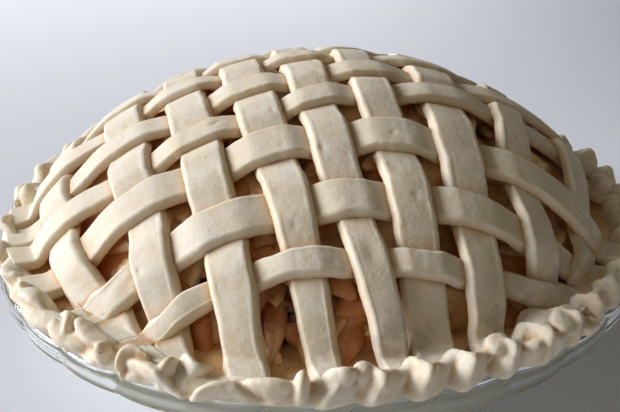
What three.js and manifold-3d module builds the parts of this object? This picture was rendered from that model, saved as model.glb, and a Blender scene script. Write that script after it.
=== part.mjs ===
// An unbaked lattice apple pie in its clear glass pie dish.
// Millimetres, +Z up. The origin is the centre of the dish's foot, which stands on z = 0.
// +X runs along the cross strips and +Y along the long strips, away from the front of the pie.

import * as THREE from 'three';
import * as BufferGeometryUtils from 'three/addons/utils/BufferGeometryUtils.js';
import Module from 'manifold-3d';

const wasm = await Module();
wasm.setup();

// ---------- driving dimensions ----------

const CLEARANCE = 0.35; // between pieces that rest on each other
const BOWL_SIDES = 36; // flat sides round the dish, its crust and the filling
const CORNER_STEPS = 2;

const DISH = {
  footRadius: 84, // flat foot, before the corner starts to turn
  glass: 4, // thickness of its wall and floor
  cornerRadius: 14, // inside corner between floor and wall
  mouthRadius: 108, // inside radius at the rim
  height: 47.5,
  rimRadius: 125,
  flange: 4.4, // thickness of the flat rim
  collarDrop: 8.8, // height of the fluted band that hangs from the rim
  collarThickness: 4.6,
  flutes: 32,
  stepsPerFlute: 3,
  fluteDepth: 0.9,
  collarBevel: [0.8, 1.6], // in and up, at the collar's lower edge
};

const CRUST = {
  thickness: 4, // bottom crust, where it lines the dish
  ledge: 3.2, // where it lies on the glass rim
  ledgeRadius: 116,
};

const RIM = {
  radius: 118.2, // middle of the pinched edge
  height: 8.2, // above the glass rim, at the front
  backDrop: 3, // lower than that at the back
  drift: 1.4, // it stands a little further out at the front
  pinches: 42,
  crowding: 14, // the pinches stand closer together at the front right
  crowdedSide: THREE.MathUtils.degToRad(-72),
  sway: 2.1, // in and out, from pinch to pinch
  lift: 1.7, // up and down, from pinch to pinch
  stepsPerPinch: 4,
};

// The pinched edge's section from its inner foot over the top to its outer foot: how far each
// point lies outside the middle, and its share of the height and of the sway.
const RIM_SECTION = [
  { out: -4.7, height: 0, sway: 0 },
  { out: -3.1, height: 0.5, sway: 0.4 },
  { out: -1.3, height: 1, sway: 1 },
  { out: 3.3, height: 0.8, sway: 1 },
  { out: 4.5, height: 0.45, sway: 0.8 },
  { out: 4.3, height: 0, sway: 0.4 },
];

// Folded lumps and torn bits of dough on the rim: angle round the pie in degrees, radius,
// height, and half size along the rim, across it and upwards.
const LUMPS = [
  { angle: 178, radius: 116.5, z: 55.5, size: [5, 5.5, 6.5] },
  { angle: -171, radius: 119, z: 53.5, size: [8, 4.5, 5] },
  { angle: -156, radius: 119.5, z: 53, size: [8, 5, 4.5] },
  { angle: -142, radius: 120, z: 53.5, size: [9, 5.5, 5] },
  { angle: -131.5, radius: 119.5, z: 53, size: [7, 5.5, 4.5] },
  { angle: -118, radius: 120, z: 54, size: [6.5, 5, 5.5] },
  { angle: -105.5, radius: 121, z: 52.5, size: [7, 3.5, 4.5] },
  { angle: -91, radius: 119, z: 55, size: [3.5, 4, 6.5] },
  { angle: -71.5, radius: 120.5, z: 54.2, size: [4, 4, 6] },
  { angle: -58.5, radius: 121.5, z: 54, size: [5, 4.5, 5.5] },
  { angle: -52, radius: 120, z: 55, size: [6, 5, 4.5] },
  { angle: -5, radius: 116.5, z: 57, size: [5, 6, 7] },
];

// The heaped pie: its crown lies a little to the right of the middle and towards the back.
const DOME = {
  base: 48,
  height: 54.4,
  radius: 110.8,
  fullness: 1.7,
  shoulder: 0.608,
  crown: [5, 3],
  lastReach: 0.9995, // share of the radius where the dome's side turns upright
};

const STRIP = {
  thickness: 3.4,
  gap: 1, // between two strips where they cross
  endRadius: 109.3, // the strips stop here, just inside the pinched rim
  tipWidth: 3, // where the end circle cuts a strip to a point
  bevel: 0.9, // the cut edges are soft
  bulge: 0.5, // and swell a little at mid thickness
};

// The strips are measured at these distances along them: where they lie, and how wide they are.
const STATIONS = [-90, -30, 30, 90];
const WIDTH_STATIONS = [-80, 0, 80];

// Each long strip: its distance from the middle line, from front to back, and its width.
// `phase` is 1 where it lies over the first cross strip.
const LONG_STRIPS = [
  { line: [-69.5, -96.5, -98.5, -82], width: [15, 16, 15], phase: 1 },
  { line: [-54, -68.5, -75.5, -70], width: [14, 17.5, 15], phase: 0 },
  { line: [-33, -44.5, -52.5, -50], width: [15, 17, 15.5], phase: 1 },
  { line: [-10.5, -21, -29.5, -33], width: [13.5, 17.5, 15.5], phase: 0 },
  { line: [9, -0.5, -6.5, -12.5], width: [13, 16, 14.5], phase: 1 },
  { line: [25.5, 21.5, 16, 9.5], width: [15, 15.5, 14.5], phase: 0 },
  { line: [44.5, 46, 45.5, 40], width: [15, 18, 16], phase: 1 },
  { line: [68.5, 70, 78, 77.5], width: [14, 14.5, 14.5], phase: 0 },
  { line: [80, 95.5, 99.5, 85], width: [12.5, 13, 13], phase: 0 },
];

// Each cross strip: its distance from the middle line, from left to right, and its width.
const CROSS_STRIPS = [
  { line: [-112, -89.5, -89.5, -79], width: [11.5, 10, 10.5] },
  { line: [-86, -71.5, -69.5, -71.5], width: [15.5, 15.5, 13] },
  { line: [-59.5, -47, -42, -53.5], width: [16, 16.5, 16] },
  { line: [-40, -27.5, -12.5, -8], width: [13, 12.5, 14] },
  { line: [-21.5, -5.5, 5, 9.5], width: [14.5, 14.5, 14] },
  { line: [0.5, 19, 28.5, 34], width: [15, 12.5, 14] },
  { line: [21, 38, 46.5, 55], width: [14, 14, 14] },
  { line: [44, 56, 63, 71], width: [14, 14, 14] },
  { line: [68, 75, 79, 86], width: [14, 14, 14] },
  { line: [90, 92, 95, 98], width: [13, 13, 13] },
];

const FILLING = {
  coreDepth: 8.5, // the heaped core lies this far under the middle of the lattice
  coreReach: 107,
  coreSteps: 7,
  sliceDepth: 4.7, // and the slices come up to here
  slices: 32,
  reach: 97, // how far from the axis the outermost slices are centred
  brim: 103, // and how far their tips may go
  length: 40, // tip to tip of a slice
  width: 17,
  thickness: 6.5,
  hollow: 0.22, // share of the width that is cut out on the core side
  uneven: 0.3, // spread of the slices' sizes
  scatter: 1.5, // and of their depths
  tilt: 0.2,
  seed: 11,
};

const COLOURS = { glass: 0xdde7e4, dough: 0xe9dfcb, apple: 0xc49263 };

// ---------- the dome of the pie ----------

// Height of the lattice's middle surface over the table.
function domeHeight(x, y) {
  const settle = Math.max(0, 1 - Math.hypot(x, y) / DOME.radius);
  const radius = Math.hypot(x - settle * DOME.crown[0], y - settle * DOME.crown[1]);
  const reach = Math.min(radius / DOME.radius, DOME.lastReach);
  return DOME.base + DOME.height * (1 - reach ** DOME.fullness) ** DOME.shoulder;
}

function domeNormal(x, y) {
  const step = 0.05;
  const slopeX = (domeHeight(x + step, y) - domeHeight(x - step, y)) / (2 * step);
  const slopeY = (domeHeight(x, y + step) - domeHeight(x, y - step)) / (2 * step);
  return new THREE.Vector3(-slopeX, -slopeY, 1).normalize();
}

// A point over (x, y), moved off the middle surface along its normal.
function domePoint(x, y, offset) {
  const surface = new THREE.Vector3(x, y, domeHeight(x, y));
  return surface.addScaledVector(domeNormal(x, y), offset);
}

// ---------- mesh helpers ----------

// Triangles over a grid of rows, each row an equally long ring of points.
// `closed` joins the last row to the first; otherwise both ends are capped.
function skinRows(rows, closed) {
  const count = rows[0].length;
  const positions = rows.flat().flatMap((p) => [p.x, p.y, p.z]);
  const indices = [];
  const last = closed ? rows.length : rows.length - 1;
  for (let i = 0; i < last; i++) {
    const next = (i + 1) % rows.length;
    for (let j = 0; j < count; j++) {
      const side = (j + 1) % count;
      const [a, b] = [i * count + j, i * count + side];
      const [c, d] = [next * count + j, next * count + side];
      indices.push(a, b, c, b, d, c);
    }
  }
  if (!closed) {
    const end = (rows.length - 1) * count;
    for (let j = 1; j < count - 1; j++) {
      indices.push(0, j + 1, j);
      indices.push(end, end + j, end + j + 1);
    }
  }
  return facingOut(positions, indices);
}

function facingOut(positions, indices) {
  const at = (i) => new THREE.Vector3().fromArray(positions, indices[i] * 3);
  let volume = 0;
  for (let i = 0; i < indices.length; i += 3) {
    volume += at(i).dot(at(i + 1).cross(at(i + 2)));
  }
  const faces = [...indices];
  if (volume < 0) {
    for (let i = 0; i < faces.length; i += 3) {
      [faces[i], faces[i + 1]] = [faces[i + 1], faces[i]];
    }
  }
  const geometry = new THREE.BufferGeometry();
  geometry.setAttribute('position', new THREE.Float32BufferAttribute(positions, 3));
  geometry.setIndex(faces);
  return geometry;
}

// A turned solid: the profile runs from the axis back to the axis.
function turned(profile) {
  const outline = profile.map(([radius, z]) => new THREE.Vector2(radius, z));
  const lathe = new THREE.LatheGeometry(outline, BOWL_SIDES);
  lathe.rotateX(Math.PI / 2);
  return welded(lathe);
}

// Shared vertices merged and flat triangles dropped, faces pointing out.
function welded(geometry) {
  const bare = geometry.clone();
  bare.deleteAttribute('normal');
  bare.deleteAttribute('uv');
  const merged = BufferGeometryUtils.mergeVertices(bare, 1e-4);
  const source = merged.index.array;
  const indices = [];
  for (let i = 0; i < source.length; i += 3) {
    const [a, b, c] = [source[i], source[i + 1], source[i + 2]];
    if (a !== b && b !== c && c !== a) indices.push(a, b, c);
  }
  return facingOut([...merged.attributes.position.array], indices);
}

function toSolid(geometry) {
  const mesh = new wasm.Mesh({
    numProp: 3,
    vertProperties: new Float32Array(geometry.attributes.position.array),
    triVerts: new Uint32Array(geometry.index.array),
  });
  return new wasm.Manifold(mesh);
}

function fromSolid(solid) {
  const mesh = solid.getMesh();
  const geometry = new THREE.BufferGeometry();
  geometry.setAttribute('position', new THREE.Float32BufferAttribute(mesh.vertProperties, 3));
  geometry.setIndex([...mesh.triVerts]);
  return geometry;
}

// A repeatable random number source, 0 to 1.
function seededRandom(seed) {
  let state = seed;
  return () => {
    state = (state * 1664525 + 1013904223) % 4294967296;
    return state / 4294967296;
  };
}

// ---------- the bowl that dish, crust and filling share ----------

// From the middle of the floor to the mouth, moved inwards from the glass's inner face.
function bowlProfile(inset, top) {
  const lean = wallLean();
  const corner = DISH.cornerRadius - inset;
  const centre = [DISH.footRadius - DISH.glass, DISH.glass + DISH.cornerRadius];
  const profile = [[0, DISH.glass + inset]];
  for (let i = 0; i <= CORNER_STEPS; i++) {
    const turn = -Math.PI / 2 + (i / CORNER_STEPS) * (Math.PI / 2 - lean);
    profile.push([centre[0] + corner * Math.cos(turn), centre[1] + corner * Math.sin(turn)]);
  }
  const [radius, z] = profile.at(-1);
  profile.push([radius + (top - z) * Math.tan(lean), top]);
  return profile;
}

// Angle of the wall from upright, so that it meets the mouth radius at the rim.
function wallLean() {
  const across = DISH.mouthRadius - (DISH.footRadius - DISH.glass);
  const up = DISH.height - (DISH.glass + DISH.cornerRadius);
  const span = Math.hypot(across, up);
  return Math.atan2(across, up) - Math.asin(DISH.cornerRadius / span);
}

function makeDish() {
  const inner = bowlProfile(0, DISH.height).reverse();
  const under = DISH.height - DISH.flange;
  const outer = bowlProfile(-DISH.glass, under);
  const flangeEdge = DISH.rimRadius - DISH.collarThickness / 2;
  const profile = [...outer, [flangeEdge, under], [flangeEdge, DISH.height], ...inner];
  const bowl = toSolid(turned(profile));
  return fromSolid(bowl.add(toSolid(makeCollar())));
}

// The fluted band round the dish's rim.
function makeCollar() {
  const inner = DISH.rimRadius - DISH.collarThickness;
  const foot = DISH.height - DISH.collarDrop;
  const steps = DISH.flutes * DISH.stepsPerFlute;
  const [bevelIn, bevelUp] = DISH.collarBevel;
  const rows = [];
  for (let i = 0; i < steps; i++) {
    const angle = (i / steps) * 2 * Math.PI;
    const outer = DISH.rimRadius - DISH.fluteDepth * (0.5 - 0.5 * Math.cos(angle * DISH.flutes));
    const section = [
      [inner, foot],
      [outer - bevelIn, foot],
      [outer, foot + bevelUp],
      [outer - bevelIn, DISH.height],
      [inner, DISH.height],
    ];
    rows.push(section.map(([radius, z]) => polar(radius, angle, z)));
  }
  return skinRows(rows, true);
}

function polar(radius, angle, z) {
  return new THREE.Vector3(radius * Math.cos(angle), radius * Math.sin(angle), z);
}

// ---------- crust ----------

function makeCrust() {
  const shelf = DISH.height + CLEARANCE;
  const outer = bowlProfile(CLEARANCE, shelf);
  const inner = bowlProfile(CLEARANCE + CRUST.thickness, shelf + CRUST.ledge).reverse();
  const ledge = [
    [CRUST.ledgeRadius, shelf],
    [CRUST.ledgeRadius, shelf + CRUST.ledge],
  ];
  let crust = toSolid(turned([...outer, ...ledge, ...inner]));
  crust = crust.add(toSolid(makePinchedEdge(shelf)));
  for (const lump of LUMPS) crust = crust.add(toSolid(makeLump(lump)));
  return fromSolid(crust);
}

// The phase of the pinching at an angle: it grows by one turn from pinch to pinch.
function pinchPhase(angle) {
  return RIM.pinches * angle + RIM.crowding * Math.sin(angle - RIM.crowdedSide);
}

function pinchAngle(phase) {
  let angle = phase / RIM.pinches;
  for (let i = 0; i < 12; i++) {
    const slope = RIM.pinches + RIM.crowding * Math.cos(angle - RIM.crowdedSide);
    angle -= (pinchPhase(angle) - phase) / slope;
  }
  return angle;
}

// How far the edge sways out and how high it stands, at an angle round the pie.
function pinchShape(angle) {
  const phase = pinchPhase(angle);
  const uneven = 1 + 0.3 * Math.sin(5 * angle + 1.2) + 0.2 * Math.sin(11 * angle + 0.4);
  const drift = -RIM.drift * Math.sin(angle) + 0.8 * Math.sin(3 * angle + 2);
  const dip = RIM.backDrop * (0.5 + 0.5 * Math.sin(angle)) - 0.8 * Math.sin(4 * angle);
  return {
    sway: RIM.sway * uneven * Math.sin(phase) + drift,
    height: RIM.height - dip + RIM.lift * uneven * Math.sin(phase + 1.1),
  };
}

function makePinchedEdge(shelf) {
  const steps = RIM.pinches * RIM.stepsPerPinch;
  const rows = [];
  for (let i = 0; i < steps; i++) {
    const angle = pinchAngle((i / steps) * RIM.pinches * 2 * Math.PI);
    const { sway, height } = pinchShape(angle);
    rows.push(RIM_SECTION.map((point) => {
      const radius = RIM.radius + point.out + point.sway * sway;
      return polar(radius, angle, shelf + point.height * height);
    }));
  }
  return skinRows(rows, true);
}

function makeLump({ angle, radius, z, size }) {
  const turn = THREE.MathUtils.degToRad(angle);
  const lump = new THREE.IcosahedronGeometry(1, 1);
  lump.scale(size[1], size[0], size[2]);
  lump.rotateZ(turn);
  lump.translate(radius * Math.cos(turn), radius * Math.sin(turn), z);
  return welded(lump);
}

// ---------- filling ----------

// The core's outline in the upright half-plane at an angle, from the floor to the crown.
function coreOutline(angle) {
  const inset = 2 * CLEARANCE + CRUST.thickness;
  const brim = DISH.height + CRUST.ledge;
  const bowl = bowlProfile(inset, brim).map(([radius, z]) => polar(radius, angle, z));
  const dome = [];
  for (let i = 0; i <= FILLING.coreSteps; i++) {
    const turn = (i / FILLING.coreSteps) * (Math.PI / 2);
    const reach = FILLING.coreReach * Math.cos(turn);
    dome.push(domePoint(reach * Math.cos(angle), reach * Math.sin(angle), -FILLING.coreDepth));
  }
  return [...bowl, ...dome];
}

// The core: its outlines round the axis, with the floor's middle and the crown closed.
function makeCore() {
  const rows = [];
  for (let i = 0; i < BOWL_SIDES; i++) {
    rows.push(coreOutline((i / BOWL_SIDES) * 2 * Math.PI));
  }
  const crown = rows[0].at(-1);
  for (const row of rows) row[row.length - 1] = crown;
  return welded(skinRows(rows, true));
}

function makeFilling() {
  const random = seededRandom(FILLING.seed);
  let heap = toSolid(makeCore());
  for (let i = 0; i < FILLING.slices; i++) {
    heap = heap.add(toSolid(makeSlice(i, random)));
  }
  return fromSolid(heap);
}

// One apple slice, laid on the dome at its place in a golden-angle spread. It follows the
// dome, leans a little, and never comes up to the strips.
function makeSlice(index, random) {
  const spread = Math.sqrt((index + 0.5) / FILLING.slices);
  const turn = index * Math.PI * (3 - Math.sqrt(5));
  const radius = FILLING.reach * spread;
  const [x, y] = [radius * Math.cos(turn), radius * Math.sin(turn)];
  const size = 1 + FILLING.uneven * (random() - 0.5);
  const slice = crescent(FILLING.length * size, FILLING.width * size, FILLING.thickness);
  slice.rotateX(FILLING.tilt * (2 * random() - 1));
  slice.rotateY(FILLING.tilt * (2 * random() - 1));
  slice.rotateZ(2 * Math.PI * random());
  const centreDepth = FILLING.sliceDepth + FILLING.thickness / 2 + FILLING.scatter * random();
  const points = slice.attributes.position;
  const foreshortening = domeNormal(x, y).z;
  for (let i = 0; i < points.count; i++) {
    const reach = Math.min(radius + points.getX(i) * foreshortening, FILLING.brim);
    const aside = turn + points.getY(i) / Math.max(reach, FILLING.width);
    const offset = Math.min(points.getZ(i) - centreDepth, -FILLING.sliceDepth);
    const place = domePoint(reach * Math.cos(aside), reach * Math.sin(aside), offset);
    points.setXYZ(i, place.x, place.y, place.z);
  }
  return welded(slice);
}

// A half-moon slab: round on the peel side, hollowed a little on the core side.
function crescent(length, width, thickness) {
  const shape = new THREE.Shape();
  const steps = 4;
  for (let i = 0; i <= steps; i++) {
    const t = (i / steps) * Math.PI;
    const point = [(length / 2) * Math.cos(t), width * Math.sin(t) - width / 2];
    if (i === 0) shape.moveTo(...point);
    else shape.lineTo(...point);
  }
  shape.lineTo(0, width * FILLING.hollow - width / 2);
  shape.closePath();
  const slab = new THREE.ExtrudeGeometry(shape, { depth: thickness, bevelEnabled: false });
  slab.translate(0, 0, -thickness / 2);
  return slab;
}

// ---------- lattice ----------

// The smooth curve through the values measured at some stations.
function throughStations(stations, values, along) {
  let sum = 0;
  stations.forEach((station, i) => {
    const others = stations.filter((_, j) => j !== i);
    const share = others.reduce((w, other) => (w * (along - other)) / (station - other), 1);
    sum += share * values[i];
  });
  return sum;
}

const stripLine = (strip, along) => throughStations(STATIONS, strip.line, along);

// Half a strip's width as seen from above, where the dome slopes away across it.
function halfWidth(strip, x, y, acrossX) {
  const normal = domeNormal(x, y);
  const slope = acrossX ? normal.x : normal.y;
  const width = throughStations(WIDTH_STATIONS, strip.width, acrossX ? y : x);
  return ((width / 2) * normal.z) / Math.hypot(slope, normal.z);
}

function longEdge(strip, side, y) {
  const x = stripLine(strip, y);
  return [x + side * halfWidth(strip, x, y, true), y];
}

function crossEdge(strip, side, x) {
  const y = stripLine(strip, x);
  return [x, y + side * halfWidth(strip, x, y, false)];
}

// Where one edge of a long strip meets one edge of a cross strip; sides are -1 or 1.
function edgeCrossing(long, longSide, cross, crossSide) {
  let [x, y] = [stripLine(long, 0), stripLine(cross, 0)];
  for (let i = 0; i < 25; i++) {
    y = crossEdge(cross, crossSide, x)[1];
    x = longEdge(long, longSide, y)[0];
  }
  return [x, y];
}

const inside = ([x, y]) => Math.hypot(x, y) < STRIP.endRadius;
const distance = (a, b) => Math.hypot(b[0] - a[0], b[1] - a[1]);

function longIsOver(longIndex, crossIndex) {
  return (LONG_STRIPS[longIndex].phase + crossIndex) % 2 === 1;
}

// The strip's rows from one end to the other: two for each strip that it crosses, at that
// strip's edges, and one at each end, on the end circle. A row holds the strip's two edge
// points and which way it is lifted there: 1 over, -1 under, 0 at an end with nothing to cross.
function stripRows(strip, crossings, edgeLine) {
  const rows = [];
  for (const { near, far, over } of crossings) {
    const lift = over ? 1 : -1;
    rows.push({ edges: near, lift, opens: true });
    rows.push({ edges: far, lift, opens: false });
  }
  const kept = rows.filter(({ edges }) => edges.some(inside));
  const startLift = kept[0].opens ? 0 : kept[0].lift;
  const endLift = kept.at(-1).opens ? kept.at(-1).lift : 0;
  const start = { edges: endEdges(strip, -1, kept[0].edges, edgeLine), lift: startLift };
  const end = { edges: endEdges(strip, 1, kept.at(-1).edges, edgeLine), lift: endLift };
  for (const row of kept) row.edges = clipped(row.edges);
  return [start, ...kept, end];
}

// The last point inside the end circle on the way from one point to another.
function onEndCircle(from, to) {
  let [low, high] = [0, 1];
  const placeAt = (t) => [from[0] + (to[0] - from[0]) * t, from[1] + (to[1] - from[1]) * t];
  for (let i = 0; i < 30; i++) {
    const middle = (low + high) / 2;
    if (inside(placeAt(middle))) low = middle;
    else high = middle;
  }
  return placeAt(low);
}

// A row that pokes out of the end circle is cut off there.
function clipped([a, b]) {
  if (!inside(a)) return [onEndCircle(b, a), b];
  if (!inside(b)) return [a, onEndCircle(a, b)];
  return [a, b];
}

// Where a strip's two edges reach the end circle. Where the row before has already lost one
// edge, the strip runs out along the other one to a narrow tip.
function endEdges(strip, direction, [a, b], edgeLine) {
  const tips = [-1, 1].map((side) => {
    let [low, high] = [0, STRIP.endRadius + 2];
    for (let i = 0; i < 40; i++) {
      const middle = (low + high) / 2;
      if (inside(edgeLine(strip, side, direction * middle))) low = middle;
      else high = middle;
    }
    return edgeLine(strip, side, direction * low);
  });
  if (!inside(a)) tips[0] = beside(tips[1], onEndCircle(b, a));
  if (!inside(b)) tips[1] = beside(tips[0], onEndCircle(a, b));
  return tips;
}

// A point on the end circle, a tip's width from another one towards a third.
function beside(tip, towards) {
  const share = Math.min(0.8, STRIP.tipWidth / distance(tip, towards));
  const point = [0, 1].map((k) => tip[k] + (towards[k] - tip[k]) * share);
  const stretch = STRIP.endRadius / Math.hypot(...point);
  return [point[0] * stretch, point[1] * stretch];
}

// The solid strip: a soft-edged flat section carried through its rows.
function skinStrip(rows) {
  const { thickness, gap, bulge } = STRIP;
  const sections = rows.map(({ edges, lift }) => {
    const [a, b] = edges.map(([x, y]) => new THREE.Vector2(x, y));
    const across = b.clone().sub(a).normalize();
    const bevel = Math.min(STRIP.bevel, b.distanceTo(a) / 4);
    const middle = (lift * (thickness + gap)) / 2;
    const corner = (base, inset, offset) => {
      const point = base.clone().addScaledVector(across, inset);
      return domePoint(point.x, point.y, middle + offset);
    };
    return [
      corner(a, bevel * 0.6, -thickness / 2),
      corner(a, -bulge * 0.4, 0),
      corner(a, bevel, thickness / 2),
      corner(b, -bevel, thickness / 2),
      corner(b, bulge * 0.4, 0),
      corner(b, -bevel * 0.6, -thickness / 2),
    ];
  });
  return skinRows(sections, false);
}

function makeLongStrip(index) {
  const long = LONG_STRIPS[index];
  const crossings = CROSS_STRIPS.map((cross, crossIndex) => ({
    near: [edgeCrossing(long, -1, cross, -1), edgeCrossing(long, 1, cross, -1)],
    far: [edgeCrossing(long, -1, cross, 1), edgeCrossing(long, 1, cross, 1)],
    over: longIsOver(index, crossIndex),
  }));
  return skinStrip(stripRows(long, crossings, longEdge));
}

function makeCrossStrip(index) {
  const cross = CROSS_STRIPS[index];
  const crossings = LONG_STRIPS.map((long, longIndex) => ({
    near: [edgeCrossing(long, -1, cross, -1), edgeCrossing(long, -1, cross, 1)],
    far: [edgeCrossing(long, 1, cross, -1), edgeCrossing(long, 1, cross, 1)],
    over: !longIsOver(longIndex, index),
  }));
  return skinStrip(stripRows(cross, crossings, crossEdge));
}

// ---------- the pie ----------

function addPiece(group, name, geometry, colour, roughness) {
  const material = new THREE.MeshStandardMaterial({ color: colour, roughness, metalness: 0 });
  if (name === 'glass_dish') {
    material.transparent = true;
    material.opacity = 0.35;
  }
  const mesh = new THREE.Mesh(geometry, material);
  mesh.name = name;
  group.add(mesh);
}

const pie = new THREE.Group();
pie.name = 'lattice_apple_pie';
addPiece(pie, 'glass_dish', makeDish(), COLOURS.glass, 0.05);
addPiece(pie, 'crust', makeCrust(), COLOURS.dough, 0.7);
addPiece(pie, 'apple_filling', makeFilling(), COLOURS.apple, 0.6);
LONG_STRIPS.forEach((_, i) => {
  addPiece(pie, `long_strip_${i + 1}`, makeLongStrip(i), COLOURS.dough, 0.7);
});
CROSS_STRIPS.forEach((_, i) => {
  addPiece(pie, `cross_strip_${i + 1}`, makeCrossStrip(i), COLOURS.dough, 0.7);
});

export default pie;
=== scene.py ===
"""Dresses the lattice apple pie: glass dish, raw dough crust and lattice, sliced apples.

Metres throughout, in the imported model's frame: +Z up, the dish's foot on z = 0, +X along
the cross strips and +Y along the long strips, away from the front of the pie.
"""

from __future__ import annotations

import logging
import math
from dataclasses import dataclass
from enum import Enum
from typing import Callable, Mapping, Sequence

import bmesh
import bpy
import numpy as np
from mathutils import Euler, Matrix, Vector

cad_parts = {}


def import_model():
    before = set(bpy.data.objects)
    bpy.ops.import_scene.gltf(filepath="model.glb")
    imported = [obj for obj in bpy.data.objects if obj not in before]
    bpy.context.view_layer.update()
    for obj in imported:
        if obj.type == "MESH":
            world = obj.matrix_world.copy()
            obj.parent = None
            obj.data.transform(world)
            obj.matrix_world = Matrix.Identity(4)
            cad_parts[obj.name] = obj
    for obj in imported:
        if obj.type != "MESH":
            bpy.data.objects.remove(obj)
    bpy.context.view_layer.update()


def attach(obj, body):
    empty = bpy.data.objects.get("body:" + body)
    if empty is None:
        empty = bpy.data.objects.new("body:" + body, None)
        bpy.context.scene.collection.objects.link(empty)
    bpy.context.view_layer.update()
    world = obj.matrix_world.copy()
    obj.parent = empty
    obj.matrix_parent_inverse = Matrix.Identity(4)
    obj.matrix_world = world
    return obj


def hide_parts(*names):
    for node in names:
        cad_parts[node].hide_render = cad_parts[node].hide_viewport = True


LOG = logging.getLogger("lattice_apple_pie")
MM = 0.001
BODY = "root"
Colour = tuple[float, float, float]
Array = np.ndarray
Faces = list[list[int]]
Grain = tuple[float, float, float, float]  # coarse size and depth, fine size and depth, mm


# ---------------------------------------------------------------- node trees


class Tree:
    """Adds nodes to a shader or geometry node tree."""

    def __init__(self, tree: bpy.types.NodeTree) -> None:
        """Wraps the tree that nodes are added to."""
        self.tree = tree

    def node(
        self,
        kind: str,
        settings: Mapping[str, object] | None = None,
        inputs: Mapping[str | int, object] | None = None,
    ) -> bpy.types.Node:
        """Adds one node.

        Args:
            kind: The node's type.
            settings: Its own settings, which are set first.
            inputs: Values or links of its sockets, by name or by number.

        Returns:
            The new node.
        """
        made = self.tree.nodes.new(kind)
        for name, value in (settings or {}).items():
            setattr(made, name, value)
        for key, value in (inputs or {}).items():
            self._feed(self._socket(made, key), value)
        return made

    def _feed(self, socket: bpy.types.NodeSocket, value: object) -> None:
        """Links a socket to another one, or sets its value.

        Args:
            socket: The input that is fed.
            value: Its value, or the output that it is linked to.
        """
        value = value.socket if isinstance(value, Value) else value
        if isinstance(value, bpy.types.NodeSocket):
            self.tree.links.new(value, socket)
        else:
            socket.default_value = value

    @staticmethod
    def _socket(made: bpy.types.Node, key: str | int) -> bpy.types.NodeSocket:
        """The node's input of that number, or the one in use that has that name."""
        named = [s for s in made.inputs if s.name == key and s.enabled]
        return made.inputs[key] if isinstance(key, int) else named[0]

    def value(self, made: bpy.types.Node, output: str | int = 0) -> Value:
        """A node's output as a number that can be reckoned with."""
        return Value(self, made.outputs[output])

    def scaled(self, vector: object, factor: object) -> bpy.types.NodeSocket:
        """A vector made longer or shorter."""
        inputs = {0: vector, "Scale": factor}
        return self.node("ShaderNodeVectorMath", {"operation": "SCALE"}, inputs).outputs[0]

    def mix(self, share: object, first: object, second: object) -> bpy.types.NodeSocket:
        """Mixes two colours.

        Args:
            share: How much of the second colour there is.
            first: The first colour.
            second: The second colour.

        Returns:
            The mixed colour's socket.
        """
        settings = {"data_type": "RGBA", "clamp_factor": True}
        inputs = {"Factor": share, "A": _rgba(first), "B": _rgba(second)}
        return first_enabled(self.node("ShaderNodeMix", settings, inputs).outputs)


def first_enabled(sockets: Sequence[bpy.types.NodeSocket]) -> bpy.types.NodeSocket:
    """The first of some sockets that is in use."""
    return next(s for s in sockets if s.enabled)


def operator(operation: str, swapped: bool = False) -> Callable[[Value, object], Value]:
    """Makes a method that adds one Math node.

    Args:
        operation: The node's operation.
        swapped: True where the other number comes first.

    Returns:
        The method.
    """

    def method(self: Value, other: object) -> Value:
        """The node's result."""
        inputs = dict(enumerate((other, self) if swapped else (self, other)))
        return self.tree.value(self.tree.node("ShaderNodeMath", {"operation": operation}, inputs))

    return method


class Value:
    """A number in a node tree; arithmetic on it adds Math nodes."""

    __add__ = __radd__ = operator("ADD")
    __sub__ = operator("SUBTRACT")
    __rsub__ = operator("SUBTRACT", swapped=True)
    __mul__ = __rmul__ = operator("MULTIPLY")
    __truediv__ = operator("DIVIDE")
    __pow__ = operator("POWER")
    above = operator("GREATER_THAN")  # 1 where self is more than the other, otherwise 0

    def __init__(self, tree: Tree, socket: bpy.types.NodeSocket) -> None:
        """Wraps the output that holds the number."""
        self.tree = tree
        self.socket = socket

    def smooth(self, low: float, high: float) -> Value:
        """0 at low, 1 at high and a soft step between them; low may be the larger.

        Args:
            low: Where the step starts.
            high: Where it ends.

        Returns:
            The step.
        """
        settings = {"interpolation_type": "SMOOTHSTEP"}
        inputs = {"Value": self, "From Min": low, "From Max": high}
        return self.tree.value(self.tree.node("ShaderNodeMapRange", settings, inputs))


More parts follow.
